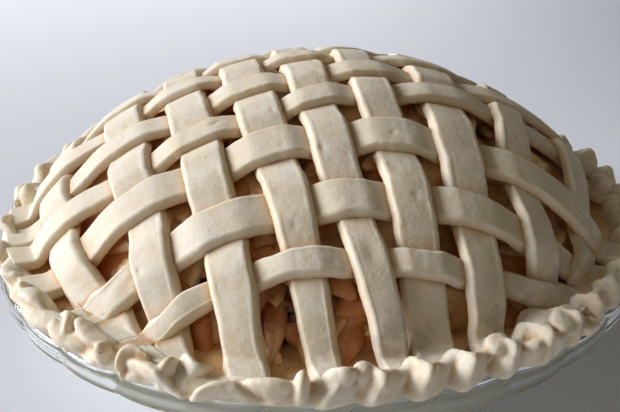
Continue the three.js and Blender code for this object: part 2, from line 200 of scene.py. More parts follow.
class Shader(Tree):
    """A material's tree, with the patterns that its finishes share."""

    def __init__(self, name: str) -> None:
        """Makes a material with its surface shader.

        Args:
            name: The material's name.
        """
        self.material = bpy.data.materials.new(name)
        self.material.use_nodes = True
        super().__init__(self.material.node_tree)
        self.tree.nodes.clear()
        self.surface = self.node("ShaderNodeBsdfPrincipled")
        output = self.node("ShaderNodeOutputMaterial")
        self.tree.links.new(self.surface.outputs[0], output.inputs[0])
        self.place = self.node("ShaderNodeTexCoord").outputs["Object"]

    def set(self, **values: object) -> None:
        """Sets or links the surface shader's sockets, named with _ for a space."""
        for name, value in values.items():
            self._feed(self.surface.inputs[name.replace("_", " ")], value)

    def noise(self, size: float, detail: float = 2.0, roughness: float = 0.5) -> Value:
        """Soft noise from 0 to 1.

        Args:
            size: The size of its blotches, in metres.
            detail: How many finer layers it has.
            roughness: How strong those are.

        Returns:
            The noise.
        """
        inputs = {
            "Vector": self.place,
            "Scale": 1.0 / size,
            "Detail": detail,
            "Roughness": roughness,
        }
        return self.value(self.node("ShaderNodeTexNoise", None, inputs))

    def specks(self, spacing: float, radius: float, share: float) -> Value:
        """Round specks, 1 inside and 0 outside.

        Args:
            spacing: The distance between places where a speck may be, in metres.
            radius: A speck's radius, in metres.
            share: The share of the places that have one.

        Returns:
            The mask.
        """
        inputs = {"Vector": self.place, "Scale": 1.0 / spacing, "Randomness": 1.0}
        cells = self.node("ShaderNodeTexVoronoi", None, inputs)
        draw = self.node("ShaderNodeSeparateColor", None, {0: cells.outputs["Color"]})
        near = self.value(cells, "Distance").smooth(radius / spacing, 0.5 * radius / spacing)
        return near * self.value(draw, 0).above(1.0 - share)

    def attribute(self, name: str) -> Value:
        """A number that the mesh carries."""
        return self.value(self.node("ShaderNodeAttribute", {"attribute_name": name}), "Fac")

    def plan(self) -> tuple[Value, Value]:
        """x and y of the place."""
        split = self.node("ShaderNodeSeparateXYZ", None, {0: self.place})
        return self.value(split, 0), self.value(split, 1)

    def bump(self, height: Value, depth: float) -> None:
        """Feeds the surface's normal from a height from 0 to 1, depth metres high."""
        inputs = {"Height": height, "Distance": depth, "Strength": 1.0}
        self.set(Normal=self.node("ShaderNodeBump", None, inputs).outputs[0])


def _rgba(colour: object) -> object:
    """A colour with its alpha; a link stays as it is."""
    return (*colour, 1.0) if isinstance(colour, tuple) and len(colour) == 3 else colour


def srgb(*levels: int) -> Colour:
    """A screen colour, each level 0 to 255, as linear light."""
    shares = [level / 255.0 for level in levels]
    return tuple(s / 12.92 if s <= 0.04045 else ((s + 0.055) / 1.055) ** 2.4 for s in shares)


class Relief(Tree):
    """A geometry tree that roughens a piece's surface and gives it its material."""

    INPUTS: dict[str, str] = {
        "Coarse Size": "Float",
        "Coarse Depth": "Float",
        "Fine Size": "Float",
        "Fine Depth": "Float",
        "Seed": "Float",
        "Material": "Material",
    }

    def __init__(self, name: str) -> None:
        """Makes the group with its sockets.

        Args:
            name: The group's name.
        """
        group = bpy.data.node_groups.new(name, "GeometryNodeTree")
        super().__init__(group)
        self.keys: dict[str, str] = {}
        for label, kind in {"Geometry": "Geometry", **self.INPUTS}.items():
            kind = f"NodeSocket{kind}"
            socket = group.interface.new_socket(name=label, in_out="INPUT", socket_type=kind)
            self.keys[label] = socket.identifier
        kind = "NodeSocketGeometry"
        group.interface.new_socket(name="Geometry", in_out="OUTPUT", socket_type=kind)
        self.given = self.node("NodeGroupInput").outputs
        self.build()

    def shape(self) -> bpy.types.NodeSocket:
        """The geometry before it is roughened."""
        return self.given["Geometry"]

    def layer(self, size: str, depth: str) -> Value:
        """One layer of noise, centred on 0.

        Args:
            size: The input that gives its blotches' size.
            depth: The input that gives its depth.

        Returns:
            The height.
        """
        place = self.node("GeometryNodeInputPosition").outputs[0]
        scale = Value(self, self.given[size]) ** -1.0
        inputs = {"Vector": place, "W": self.given["Seed"], "Scale": scale, "Detail": 2.0}
        noise = self.value(self.node("ShaderNodeTexNoise", {"noise_dimensions": "4D"}, inputs))
        return (noise - 0.5) * Value(self, self.given[depth])

    def build(self) -> None:
        """Wires the tree."""
        coarse = self.layer("Coarse Size", "Coarse Depth")
        height = coarse + self.layer("Fine Size", "Fine Depth")
        normal = self.node("GeometryNodeInputNormal").outputs[0]
        inputs = {"Geometry": self.shape(), "Offset": self.scaled(normal, height)}
        moved = self.node("GeometryNodeSetPosition", None, inputs)
        inputs = {"Geometry": moved.outputs[0], "Material": self.given["Material"]}
        dressed = self.node("GeometryNodeSetMaterial", None, inputs)
        self.node("NodeGroupOutput", None, {"Geometry": dressed.outputs[0]})

    def apply(
        self,
        piece: bpy.types.Object,
        material: bpy.types.Material,
        grain: Grain,
        seed: int,
        *own: object,
    ) -> None:
        """Runs the tree on a piece and keeps the result as its plain mesh.

        Args:
            piece: The object to change.
            material: Its material.
            grain: How rough it becomes.
            seed: Sets its noise apart from other pieces'.
            own: The tree's further inputs.
        """
        modifier = piece.modifiers.new(self.tree.name, "NODES")
        modifier.node_group = self.tree
        sizes = [size * MM for size in grain]
        for label, value in zip(self.INPUTS, (*sizes, float(seed), material, *own)):
            modifier[self.keys[label]] = value
        freeze(piece)


class Scatter(Relief):
    """Sets a shape on each point, realizes the copies, then roughens them."""

    INPUTS = {**Relief.INPUTS, "Shape": "Object"}

    def shape(self) -> bpy.types.NodeSocket:
        """The copies, turned and sized as the points' own attributes say.

        Returns:
            Their geometry.
        """
        shape = self.node("GeometryNodeObjectInfo", None, {"Object": self.given["Shape"]})
        turn = self.node("FunctionNodeEulerToRotation", None, {0: self._attribute("turn")})
        inputs = {
            "Points": self.given["Geometry"],
            "Instance": shape.outputs["Geometry"],
            "Rotation": turn.outputs[0],
            "Scale": self._attribute("size"),
        }
        copies = self.node("GeometryNodeInstanceOnPoints", None, inputs)
        return self.node("GeometryNodeRealizeInstances", None, {0: copies.outputs[0]}).outputs[0]

    def _attribute(self, name: str) -> bpy.types.NodeSocket:
        """A vector that the points carry."""
        settings, inputs = {"data_type": "FLOAT_VECTOR"}, {"Name": name}
        return first_enabled(self.node("GeometryNodeInputNamedAttribute", settings, inputs).outputs)


def freeze(piece: bpy.types.Object) -> None:
    """Applies a piece's modifiers, so that its evaluated mesh becomes its plain one.

    Args:
        piece: The piece.
    """
    graph = bpy.context.evaluated_depsgraph_get()
    mesh = bpy.data.meshes.new_from_object(piece.evaluated_get(graph))
    old = piece.data
    piece.modifiers.clear()
    piece.data = mesh
    bpy.data.meshes.remove(old)


# ---------------------------------------------------------------- meshes


def add_piece(name: str, points: Array, faces: Faces) -> bpy.types.Object:
    """Makes a smooth closed object whose faces point out.

    Args:
        name: The object's name.
        points: Its vertices, one row each.
        faces: Its faces.

    Returns:
        The object, at the origin.
    """
    mesh = bpy.data.meshes.new(name)
    mesh.from_pydata(points.tolist(), [], faces)
    mesh.update()
    measured = bmesh.new()
    measured.from_mesh(mesh)
    if measured.calc_volume(signed=True) < 0:
        mesh.flip_normals()
    measured.free()
    mesh.shade_smooth()
    return link(bpy.data.objects.new(name, mesh))


def link(made: bpy.types.Object) -> bpy.types.Object:
    """Puts an object in the scene, and gives it back."""
    bpy.context.scene.collection.objects.link(made)
    return made


def give(piece: bpy.types.Object, name: str, values: Array) -> None:
    """Gives each point of a piece's mesh a number that its material reads."""
    layer = piece.data.attributes.new(name, "FLOAT", "POINT")
    layer.data.foreach_set("value", np.asarray(values, dtype=np.float32).ravel())


def read(items: Sequence[object], name: str, width: int, kind: type = float) -> Array:
    """Reads one property of all of a mesh's items.

    Args:
        items: The mesh's vertices, edges or normals.
        name: The property's name.
        width: How many numbers an item has.
        kind: The numbers' type.

    Returns:
        One row for each item.
    """
    values = np.empty(width * len(items), dtype=kind)
    items.foreach_get(name, values)
    return values.reshape(-1, width)


def creases(piece: bpy.types.Object, rounds: int, full: float) -> Array:
    """How hollow a mesh is at each point, from 0 to 1.

    Args:
        piece: The object.
        rounds: How often the measure is spread to the points' neighbours.
        full: The hollowness, as a share of an edge's length, that counts as 1.

    Returns:
        One number for each point.
    """
    mesh = piece.data
    points = read(mesh.vertices, "co", 3)
    normals = read(mesh.vertex_normals, "vector", 3)
    first, second = read(mesh.edges, "vertices", 2, np.int64).T
    count = np.bincount(np.concatenate([first, second]), minlength=len(points))

    def spread(values: Array) -> Array:
        """The mean over each point's neighbours."""
        total = np.bincount(first, values[second], len(points))
        return (total + np.bincount(second, values[first], len(points))) / count

    away = np.stack([spread(points[:, axis]) for axis in range(3)], axis=-1) - points
    length = np.linalg.norm(points[first] - points[second], axis=1).mean()
    hollow = np.einsum("ij,ij->i", away, normals) / length
    for _ in range(rounds):
        hollow = 0.5 * hollow + 0.5 * spread(hollow)
    return np.clip(hollow / full, 0.0, 1.0)


def band(count: int, around: int, closed: bool = True, ringed: bool = True) -> Faces:
    """The faces between rows of points, each row joined to the next.

    Args:
        count: The number of rows.
        around: The points in a row.
        closed: True where the last row joins the first.
        ringed: True where each row's last point joins its first.

    Returns:
        The faces.
    """
    faces = []
    for i in range(count if closed else count - 1):
        here, there = i * around, (i + 1) % count * around
        for j in range(around if ringed else around - 1):
            side = (j + 1) % around
            faces.append([here + j, here + side, there + side, there + j])
    return faces


def skin(rows: Array, wrap: bool) -> tuple[Array, Faces]:
    """Skins rings of points.

    Args:
        rows: Shape (rings, points in a ring, 3).
        wrap: True where the last ring joins the first; otherwise both ends are capped.

    Returns:
        The vertices and the faces.
    """
    count, around = rows.shape[:2]
    faces = band(count, around, closed=wrap)
    if not wrap:
        faces.append(list(range(around))[::-1])
        faces.append(list(range((count - 1) * around, count * around)))
    return rows.reshape(-1, 3), faces


def spun(meridians: Array, poles: Sequence[Sequence[float]]) -> tuple[Array, Faces]:
    """Skins meridians that stand all round the vertical axis.

    Args:
        meridians: Shape (meridians, points in one, 3), without the two poles.
        poles: The point before the meridians' first ones and the point after their last.

    Returns:
        The vertices and the faces.
    """
    count, around = meridians.shape[:2]
    points = np.vstack([meridians.reshape(-1, 3), poles])
    faces = band(count, around, ringed=False)
    for i in range(count):
        here, there = i * around, (i + 1) % count * around
        faces.append([len(points) - 2, here, there])
        faces.append([len(points) - 1, there + around - 1, here + around - 1])
    return points, faces


def lathe(radii: Array, heights: Array, angles: Array) -> tuple[Array, Faces]:
    """Turns a profile that runs from the axis back to the axis.

    Args:
        radii: Shape (angles, profile points without the two poles).
        heights: Heights of the profile points, the two poles' first and last.
        angles: The angles round the axis.

    Returns:
        The vertices and the faces.
    """
    x = radii * np.cos(angles)[:, None]
    y = radii * np.sin(angles)[:, None]
    z = np.broadcast_to(heights[1:-1], radii.shape)
    return spun(np.stack([x, y, z], axis=-1), [(0, 0, heights[0]), (0, 0, heights[-1])])


def full_turn(steps: int) -> Array:
    """Angles all round, in radians."""
    return np.linspace(0, 2 * np.pi, steps, endpoint=False)


def rounded(corners: Sequence[tuple[float, float, float]], steps: int = 6) -> Array:
    """A path through corners, each turned into an arc.

    Args:
        corners: Radius and height of each corner, and the radius of its arc.
        steps: Segments in an arc.

    Returns:
        The path's points, one row each.
    """
    path = [corners[0][:2]]
    for before, corner, after in zip(corners, corners[1:], corners[2:]):
        here = Vector(corner[:2])
        into = (Vector(before[:2]) - here).normalized()
        onwards = (Vector(after[:2]) - here).normalized()
        half = into.angle(onwards) / 2
        if corner[2] <= 0 or half > math.pi / 2 - 0.01:
            path.append(corner[:2])
            continue
        middle = here + (into + onwards).normalized() * (corner[2] / math.sin(half))
        reach = corner[2] / math.tan(half)
        start = here + into * reach - middle
        end = here + onwards * reach - middle
        for i in range(steps + 1):
            arm = start.slerp(end, i / steps) if start.angle(end) > 1e-4 else start
            path.append(tuple(middle + arm.normalized() * corner[2]))
    path.append(corners[-1][:2])
    return np.array(path)


def smooth_step(t: Array) -> Array:
    """0 up to 0, 1 from 1 on and a soft step between."""
    clipped = np.clip(t, 0.0, 1.0)
    return clipped * clipped * (3.0 - 2.0 * clipped)


def wander(along: Array, seed: int, size: float, longest: float = 0.045) -> Array:
    """An uneven line: a few waves of falling length, different for every seed.

    Args:
        along: Distance along the line, in metres.
        seed: Picks the waves.
        size: About how far the line strays, in metres.
        longest: The longest wave, in metres.

    Returns:
        How far the line strays at each place.
    """
    draw = np.random.default_rng(seed)
    total = np.zeros_like(along)
    for octave in range(5):
        length = longest * 0.55**octave * draw.uniform(0.8, 1.25)
        weight = 0.6**octave
        total += weight * np.sin(2 * np.pi * along / length + draw.uniform(0, 2 * np.pi))
    return size * total / 1.6


# ---------------------------------------------------------------- finishes


@dataclass(frozen=True)
class RawDough:
    """Rolled butter pastry, unbaked: matt cream, faintly mottled, with stray cinnamon and painted warm
    shade in its creases.
    """

    cream: Colour = srgb(234, 222, 197)
    flour: Colour = srgb(239, 231, 213)
    butter: Colour = srgb(227, 210, 176)
    shade: Colour = srgb(201, 144, 78)  # painted shade: the warm colour that the creases take, where light is taken up
    wet: Colour = srgb(198, 188, 174)
    cinnamon: Colour = srgb(120, 70, 42)
    roughness: float = 0.56
    glow: float = 0.35
    glow_scale: float = 0.003

    def make(self) -> bpy.types.Material:
        """Builds the material.

        Returns:
            The material.
        """
        shader = Shader("raw_dough")
        blotches = shader.noise(14 * MM, 3.0)
        colour = shader.mix(blotches.smooth(0.42, 0.68), self.cream, self.flour)
        streaks = shader.noise(5 * MM, 4.0, 0.6)
        colour = shader.mix(streaks.smooth(0.52, 0.75) * 0.6, colour, self.butter)
        crumb = shader.noise(1.5 * MM, 3.0, 0.7)
        colour = shader.mix(crumb.smooth(0.5, 0.66) * 0.45, colour, self.butter)
        colour = shader.mix(crumb.smooth(0.46, 0.34) * 0.6, colour, self.flour)
        # painted shade: warm darkening in the creases and at the strips' feet
        colour = shader.mix(shader.attribute("crease_shade") * 0.75, colour, self.shade)
        damp = self._damp(shader)
        colour = shader.mix(damp * 0.7, colour, self.wet)
        specks = shader.specks(8 * MM, 0.42 * MM, 0.5)
        colour = shader.mix(specks * 0.75, colour, self.cinnamon)
        grain = shader.noise(0.9 * MM, 2.0)
        dents = shader.noise(4 * MM, 2.0)
        shader.bump(grain * 0.35 + dents * 0.65, 0.3 * MM)
        shader.set(
            Base_Color=colour,
            Roughness=self.roughness + grain * 0.08 - damp * 0.22,
            Specular_IOR_Level=0.3,
            Subsurface_Weight=self.glow,
            Subsurface_Radius=(0.9, 0.6, 0.3),
            Subsurface_Scale=self.glow_scale,
        )
        return shader.material

    def _damp(self, shader: Shader) -> Value:
        """Where juice has wetted the dough: smears beside the rim, at the front right.

        Args:
            shader: The material's tree.

        Returns:
            The mask.
        """
        x, y = shader.plan()
        radius = (x * x + y * y) ** 0.5
        ring = radius.smooth(101 * MM, 109 * MM) * radius.smooth(120 * MM, 113 * MM)
        side = (x - y).smooth(70 * MM, 120 * MM)
        return ring * side * shader.noise(6 * MM, 3.0).smooth(0.45, 0.62)


@dataclass(frozen=True)
class SpicedApple:
    """Peeled apple slices tossed in sugar and cinnamon: tan, freckled and moist, with painted shade where
    they lie deep.
    """

    flesh: Colour = srgb(250, 204, 146)
    spiced: Colour = srgb(204, 128, 66)
    peel_side: Colour = srgb(252, 228, 186)
    cinnamon: Colour = srgb(92, 46, 24)
    hollow_shade: Colour = srgb(78, 34, 14)  # painted shade: the darkness of the deep hollows between the slices
    roughness: float = 0.42
    glow: float = 0.2
    glow_scale: float = 0.004

    def make(self) -> bpy.types.Material:
        """Builds the material.

        Returns:
            The material.
        """
        shader = Shader("spiced_apple")
        dusting = shader.noise(9 * MM, 4.0, 0.6) + (shader.attribute("tone") - 0.5) * 0.5
        colour = shader.mix(shader.attribute("peel") * 0.85, self.flesh, self.peel_side)
        colour = shader.mix(dusting.smooth(0.3, 0.75), colour, self.spiced)
        freckles = shader.specks(2.0 * MM, 0.34 * MM, 0.7)
        colour = shader.mix(freckles * 0.7, colour, self.cinnamon)
        clumps = shader.noise(2.6 * MM, 3.0, 0.7).smooth(0.62, 0.72)
        colour = shader.mix(clumps * 0.65, colour, self.cinnamon)
        # painted shade: darker the deeper the apple lies under the dome
        colour = shader.mix(shader.attribute("depth_shade") * 0.85, colour, self.hollow_shade)
        grain = shader.noise(1.2 * MM, 3.0)
        shader.bump(grain * 0.6 + clumps * 0.4, 0.25 * MM)
        shader.set(
            Base_Color=colour,
            Roughness=self.roughness + grain * 0.12,
            Subsurface_Weight=self.glow,
            Subsurface_Radius=(1.0, 0.5, 0.2),
            Subsurface_Scale=self.glow_scale,
        )
        return shader.material


@dataclass(frozen=True)
class ClearGlass:
    """Clear pressed soda-lime glass, faintly green."""

    tint: Colour = (0.93, 0.965, 0.95)
    roughness: float = 0.02
    ior: float = 1.5

    def make(self) -> bpy.types.Material:
        """Builds the material.

        Returns:
            The material.
        """
        shader = Shader("clear_glass")
        waves = shader.noise(18 * MM, 2.0)
        shader.bump(waves, 0.25 * MM)
        shader.set(
            Base_Color=(*self.tint, 1.0),
            Roughness=self.roughness,
            IOR=self.ior,
            Transmission_Weight=1.0,
        )
        return shader.material


# ---------------------------------------------------------------- the pie's shape


@dataclass(frozen=True)
class Bowl:
    """The inside of the dish: floor, round corner and leaning wall."""

    foot_radius: float = 84 * MM
    glass: float = 4 * MM
    corner: float = 14 * MM
    mouth_radius: float = 108 * MM
    height: float = 47.5 * MM
    corner_steps: int = 10

    def bend(self) -> tuple[float, float]:
        """Radius and height of the middle of the round corner's arc."""
        return self.foot_radius - self.glass, self.glass + self.corner

    def lean(self) -> float:
        """The wall's angle from upright, in radians."""
        across, up = self.mouth_radius - self.bend()[0], self.height - self.bend()[1]
        return math.atan2(across, up) - math.asin(self.corner / math.hypot(across, up))

    def profile(self, inset: float, top: float) -> list[tuple[float, float]]:
        """From the middle of the floor up the wall.

        Args:
            inset: How far inwards of the glass's inner face.
            top: The height at which it stops.

        Returns:
            Radius and height of each point.
        """
        lean, radius = self.lean(), self.corner - inset
        centre = self.bend()
        path = [(0.0, self.glass + inset)]
        for i in range(self.corner_steps + 1):
            turn = -math.pi / 2 + i / self.corner_steps * (math.pi / 2 - lean)
            path.append((centre[0] + radius * math.cos(turn), centre[1] + radius * math.sin(turn)))
        last = path[-1]
        path.append((last[0] + (top - last[1]) * math.tan(lean), top))
        return path


@dataclass(frozen=True)
class Dome:
    """The heaped pie's surface, midway through the lattice."""

    base: float = 48 * MM
    height: float = 54.4 * MM
    radius: float = 110.8 * MM
    fullness: float = 1.7
    shoulder: float = 0.608
    crown: tuple[float, float] = (5 * MM, 3 * MM)
    side: float = 106 * MM  # past this radius the side runs straight down
    ledge: float = 52.2 * MM  # the height at which strips come to rest on the crust
    softness: float = 1.1 * MM

    def _profile(self, radius: Array) -> Array:
        """Height over the table at a radius inside the side."""
        reach = radius / self.radius
        return self.base + self.height * (1 - reach**self.fullness) ** self.shoulder

    def level(self, x: Array, y: Array) -> Array:
        """Height of the surface over the table.

        Args:
            x: The places' x.
            y: Their y.

        Returns:
            The heights.
        """
        settle = np.maximum(0.0, 1.0 - np.hypot(x, y) / self.radius)
        radius = np.hypot(x - settle * self.crown[0], y - settle * self.crown[1])
        inner = np.minimum(radius, self.side)
        step = 0.1 * MM
        edge = self._profile(np.array([self.side - step, self.side]))
        slope = (edge[1] - edge[0]) / step
        line = self._profile(inner) + slope * (radius - inner)
        return self.ledge + self.softness * np.logaddexp(0.0, (line - self.ledge) / self.softness)

    def normal(self, x: Array, y: Array) -> Array:
        """The surface's upward normal.

        Args:
            x: The places' x.
            y: Their y.

        Returns:
            The normals, shape (..., 3).
        """
        step = 0.2 * MM
        across = (self.level(x + step, y) - self.level(x - step, y)) / (2 * step)
        away = (self.level(x, y + step) - self.level(x, y - step)) / (2 * step)
        made = np.stack([-across, -away, np.ones_like(across)], axis=-1)
        return made / np.linalg.norm(made, axis=-1, keepdims=True)

    def point(self, x: Array, y: Array, offset: Array) -> Array:
        """A point off the surface along its normal, shape (..., 3)."""
        surface = np.stack([x, y, self.level(x, y)], axis=-1)
        return surface + self.normal(x, y) * np.asarray(offset)[..., None]


class Run(Enum):
    """Which way a strip runs."""

    LONG = "long_strip"
    CROSS = "cross_strip"

    def other(self) -> Run:
        """The run that crosses this one."""
        return Run.CROSS if self is Run.LONG else Run.LONG

    def plan(self, along: Array, aside: Array) -> tuple[Array, Array]:
        """x and y of a place given along and beside the run."""
        return (aside, along) if self is Run.LONG else (along, aside)


STATIONS = (-90, -30, 30, 90)  # distances along a strip, in millimetres
WIDTH_STATIONS = (-80, 0, 80)


def through(stations: Sequence[float], values: Sequence[float], along: Array) -> Array:
    """The smooth curve through the values measured at some stations.

    Args:
        stations: Where the values were measured, in millimetres.
        values: The values, in millimetres.
        along: Where the curve is wanted, in metres.

    Returns:
        The curve, in metres.
    """
    total = np.zeros_like(along)
    for station, value in zip(stations, values):
        share = np.ones_like(along)
        for other in stations:
            if other != station:
                share = share * (along / MM - other) / (station - other)
        total = total + share * value * MM
    return total


@dataclass(frozen=True)
class Strip:
    """One strip of the lattice."""

    run: Run
    index: int  # from 0, at the left or at the front
    places: tuple[float, float, float, float]  # from the middle line, at STATIONS
    widths: tuple[float, float, float]  # at WIDTH_STATIONS
    phase: int = 0  # a long strip's: 1 where it lies over the first cross strip

    def node(self) -> str:
        """The name of the CAD node."""
        return f"{self.run.value}_{self.index + 1}"

    def line(self, along: Array) -> Array:
        """Distance from the middle line."""
        return through(STATIONS, self.places, along)

    def width(self, along: Array) -> Array:
        """Width across its top."""
        return through(WIDTH_STATIONS, self.widths, along)

    def half_width(self, dome: Dome, along: Array) -> Array:
        """Half its width as seen from above, where the dome slopes across it.

        Args:
            dome: The surface that it lies on.
            along: Distance along it.

        Returns:
            Half the width.
        """
        normal = dome.normal(*self.run.plan(along, self.line(along)))
        slope = normal[..., 0 if self.run is Run.LONG else 1]
        return self.width(along) / 2 * normal[..., 2] / np.hypot(slope, normal[..., 2])

    def is_over(self, other: Strip) -> bool:
        """Whether it lies over a strip of the other run."""
        long, cross = (self, other) if self.run is Run.LONG else (other, self)
        return ((long.phase + cross.index) % 2 == 1) == (self.run is Run.LONG)


Row = tuple[object, ...]  # a strip's places, its widths and, for a long strip, its phase
Crossing = tuple[bool, Array, Array]  # True where the strip is over, the other's middle and half width


@dataclass(frozen=True)
class Dent:
    """A thumb mark or nick in a strip's top: where it is, how wide and how deep."""

    strip: str
    along: float
    aside: float  # from -1 to 1 across the strip
    radius: float
    depth: float


@dataclass
class Lattice:
    """The woven dough strips."""

    dome: Dome
    thickness: float = 3.2 * MM
    lift: float = 1.5 * MM  # of a crossing strip's middle, off the dome
    ease: float = 3.2 * MM  # how far under its neighbour a strip starts to rise or fall
    end_radius: float = 120 * MM
    halvings: int = 40  # in the search for a strip's ends
    lip: float = 0.2 * MM  # how high the bead beside a cut edge is
    lip_span: tuple[float, float] = (0.9, 0.07)  # its place and width, as shares of the half width
    tuck: tuple[float, float] = (106 * MM, 112 * MM)  # where a strip settles onto the crust
    crown: float = 0.12 * MM  # how much the top face swells
    shade_reach: float = 1.1 * MM  # how far the painted warm shade beside a neighbour reaches
    shade: float = 0.9  # painted shade of the creases beside a neighbour and at a strip's foot
    shade_fade: float = 1.7  # how fast it fades up the cut side
    edge_wander: float = 0.42 * MM
    line_wander: tuple[float, float] = (0.3 * MM, 90 * MM)  # size and longest wave
    top_wander: tuple[float, float] = (0.1 * MM, 30 * MM)
    grain: Grain = (13, 0.45, 2.6, 0.12)
    random_marks: int = 7  # small dents on each strip
    mark_spans: tuple[tuple[float, float], ...] = (  # a dent's along, aside, radius and depth
        (-95, 95),
        (-0.8, 0.8),
        (0.7, 2.6),
        (0.1, 0.35),
    )
    marks: tuple[Dent, ...] = (
        Dent("long_strip_5", -88, 0.1, 3.2, 0.5),
        Dent("cross_strip_4", -37, 0.1, 1.5, 0.6),
    )
    rows: int = 300
    top_points: int = 23
    foot_points: int = 8
    foot_reach: float = 0.85  # the foot's outermost points, as a share of its half width
    side: tuple[tuple[float, float], ...] = (  # the cut edge: inset and height, millimetres
        (1.75, 1.6),
        (1.35, 1.48),
        (1.02, 1.12),
        (0.66, 0.5),
        (0.32, -0.15),
        (0.08, -0.75),
        (0.0, -1.15),
        (0.14, -1.48),
        (0.55, -1.6),
    )
    long: tuple[Row, ...] = (  # from the left
        ((-69.5, -96.5, -98.5, -82), (15, 16, 15), 1),
        ((-54, -68.5, -75.5, -70), (14, 17.5, 15), 0),
        ((-33, -44.5, -52.5, -50), (15, 17, 15.5), 1),
        ((-10.5, -21, -29.5, -33), (13.5, 17.5, 15.5), 0),
        ((9, -0.5, -6.5, -12.5), (13, 16, 14.5), 1),
        ((25.5, 21.5, 16, 9.5), (15, 15.5, 14.5), 0),
        ((44.5, 46, 45.5, 40), (15, 18, 16), 1),
        ((68.5, 70, 78, 77.5), (14, 14.5, 14.5), 0),
        ((80, 95.5, 99.5, 85), (12.5, 13, 13), 0),
    )
    cross: tuple[Row, ...] = (  # from the front
        ((-112, -89.5, -89.5, -79), (11.5, 10, 10.5)),
        ((-86, -71.5, -69.5, -71.5), (15.5, 15.5, 13)),
        ((-59.5, -47, -42, -53.5), (16, 16.5, 16)),
        ((-40, -27.5, -12.5, -8), (13, 12.5, 14)),
        ((-21.5, -5.5, 5, 9.5), (14.5, 14.5, 14)),
        ((0.5, 19, 28.5, 34), (15, 12.5, 14)),
        ((21, 38, 46.5, 55), (14, 14, 14)),
        ((44, 56, 63, 71), (14, 14, 14)),
        ((68, 75, 79, 86), (14, 14, 14)),
        ((90, 92, 95, 98), (13, 13, 13)),
    )

    def strips(self, run: Run) -> list[Strip]:
        """The strips of one run, in order."""
        rows = self.long if run is Run.LONG else self.cross
        return [Strip(run, index, *row) for index, row in enumerate(rows)]

    def crossings(self, strip: Strip, aside: Array) -> list[Crossing]:
        """Where each strip of the other run crosses one, at a distance from its middle line."""
        others = self.strips(strip.run.other())
        return [(strip.is_over(o), o.line(aside), o.half_width(self.dome, aside)) for o in others]

    def weave(self, along: Array, crossed: Sequence[Crossing]) -> Array:
        """How far the weave lifts a strip there, from -1 under to 1 over.

        Args:
            along: Distance along the strip.
            crossed: The strips that it crosses.

        Returns:
            The lift.
        """
        over, middle, half = zip(*crossed)
        total = np.full_like(along, 1.0 if over[0] else -1.0)
        for k in range(len(over) - 1):
            low = middle[k] + half[k] - self.ease
            high = np.maximum(middle[k + 1] - half[k + 1] + self.ease, low + 2 * self.ease)
            rise = 2 * (over[k + 1] - over[k])
            total = total + rise * smooth_step((along - low) / (high - low))
        return total

    def contact(self, along: Array, crossed: Sequence[Crossing]) -> Array:
        """1 where a strip slips under a neighbour, fading to 0 beside it: the mask of the painted shade
        there.

        Args:
            along: Distance along the strip.
            crossed: The strips that it crosses.

        Returns:
            The nearness.
        """
        near = np.zeros_like(along)
        for over, middle, half in crossed:
            if not over:
                gap = np.maximum(np.abs(along - middle) - half, 0.0)
                near = np.maximum(near, np.exp(-gap / self.shade_reach))
        return near

    def section(self) -> Array:
        """A strip's cross-section, from the left edge of its top face all round.

        Returns:
            One row for each point: side from -1 to 1, inset from that side's foot, height
            off the strip's middle, and 1 on the top face, fading to 0 down the sides.
        """
        inset, thick = self.side[0][0] * MM, self.thickness / 2
        top = [
            (s, inset * abs(s), thick + self.crown * (1 - s * s), 1.0)
            for s in np.linspace(-1, 1, self.top_points)
        ]
        right = [
            (1.0, out * MM, height * MM, max(0.0, 0.7 - 0.35 * i))
            for i, (out, height) in enumerate(self.side[1:])
        ]
        foot = np.linspace(self.foot_reach, -self.foot_reach, self.foot_points)
        bottom = [(s, inset * abs(s), -thick, 0.0) for s in foot]
        left = [(-s, inset, height, share) for s, inset, height, share in reversed(right)]
        return np.array(top + right + bottom + left)

    def ends(self, strip: Strip, across: Array, direction: float) -> Array:
        """Where each line of a strip meets the circle at which strips end.

        Args:
            strip: The strip.
            across: Each line's place across it, from -1 to 1.
            direction: 1 or -1, for the strip's far or near end.

        Returns:
            Distance along the strip.
        """
        low = np.zeros_like(across)
        high = np.full_like(across, 1.3 * self.end_radius)
        for _ in range(self.halvings):
            middle = (low + high) / 2
            along = direction * middle
            aside = strip.line(along) + across * strip.half_width(self.dome, along)
            inside = np.hypot(along, aside) < self.end_radius
            low, high = np.where(inside, middle, low), np.where(inside, high, middle)
        return direction * low

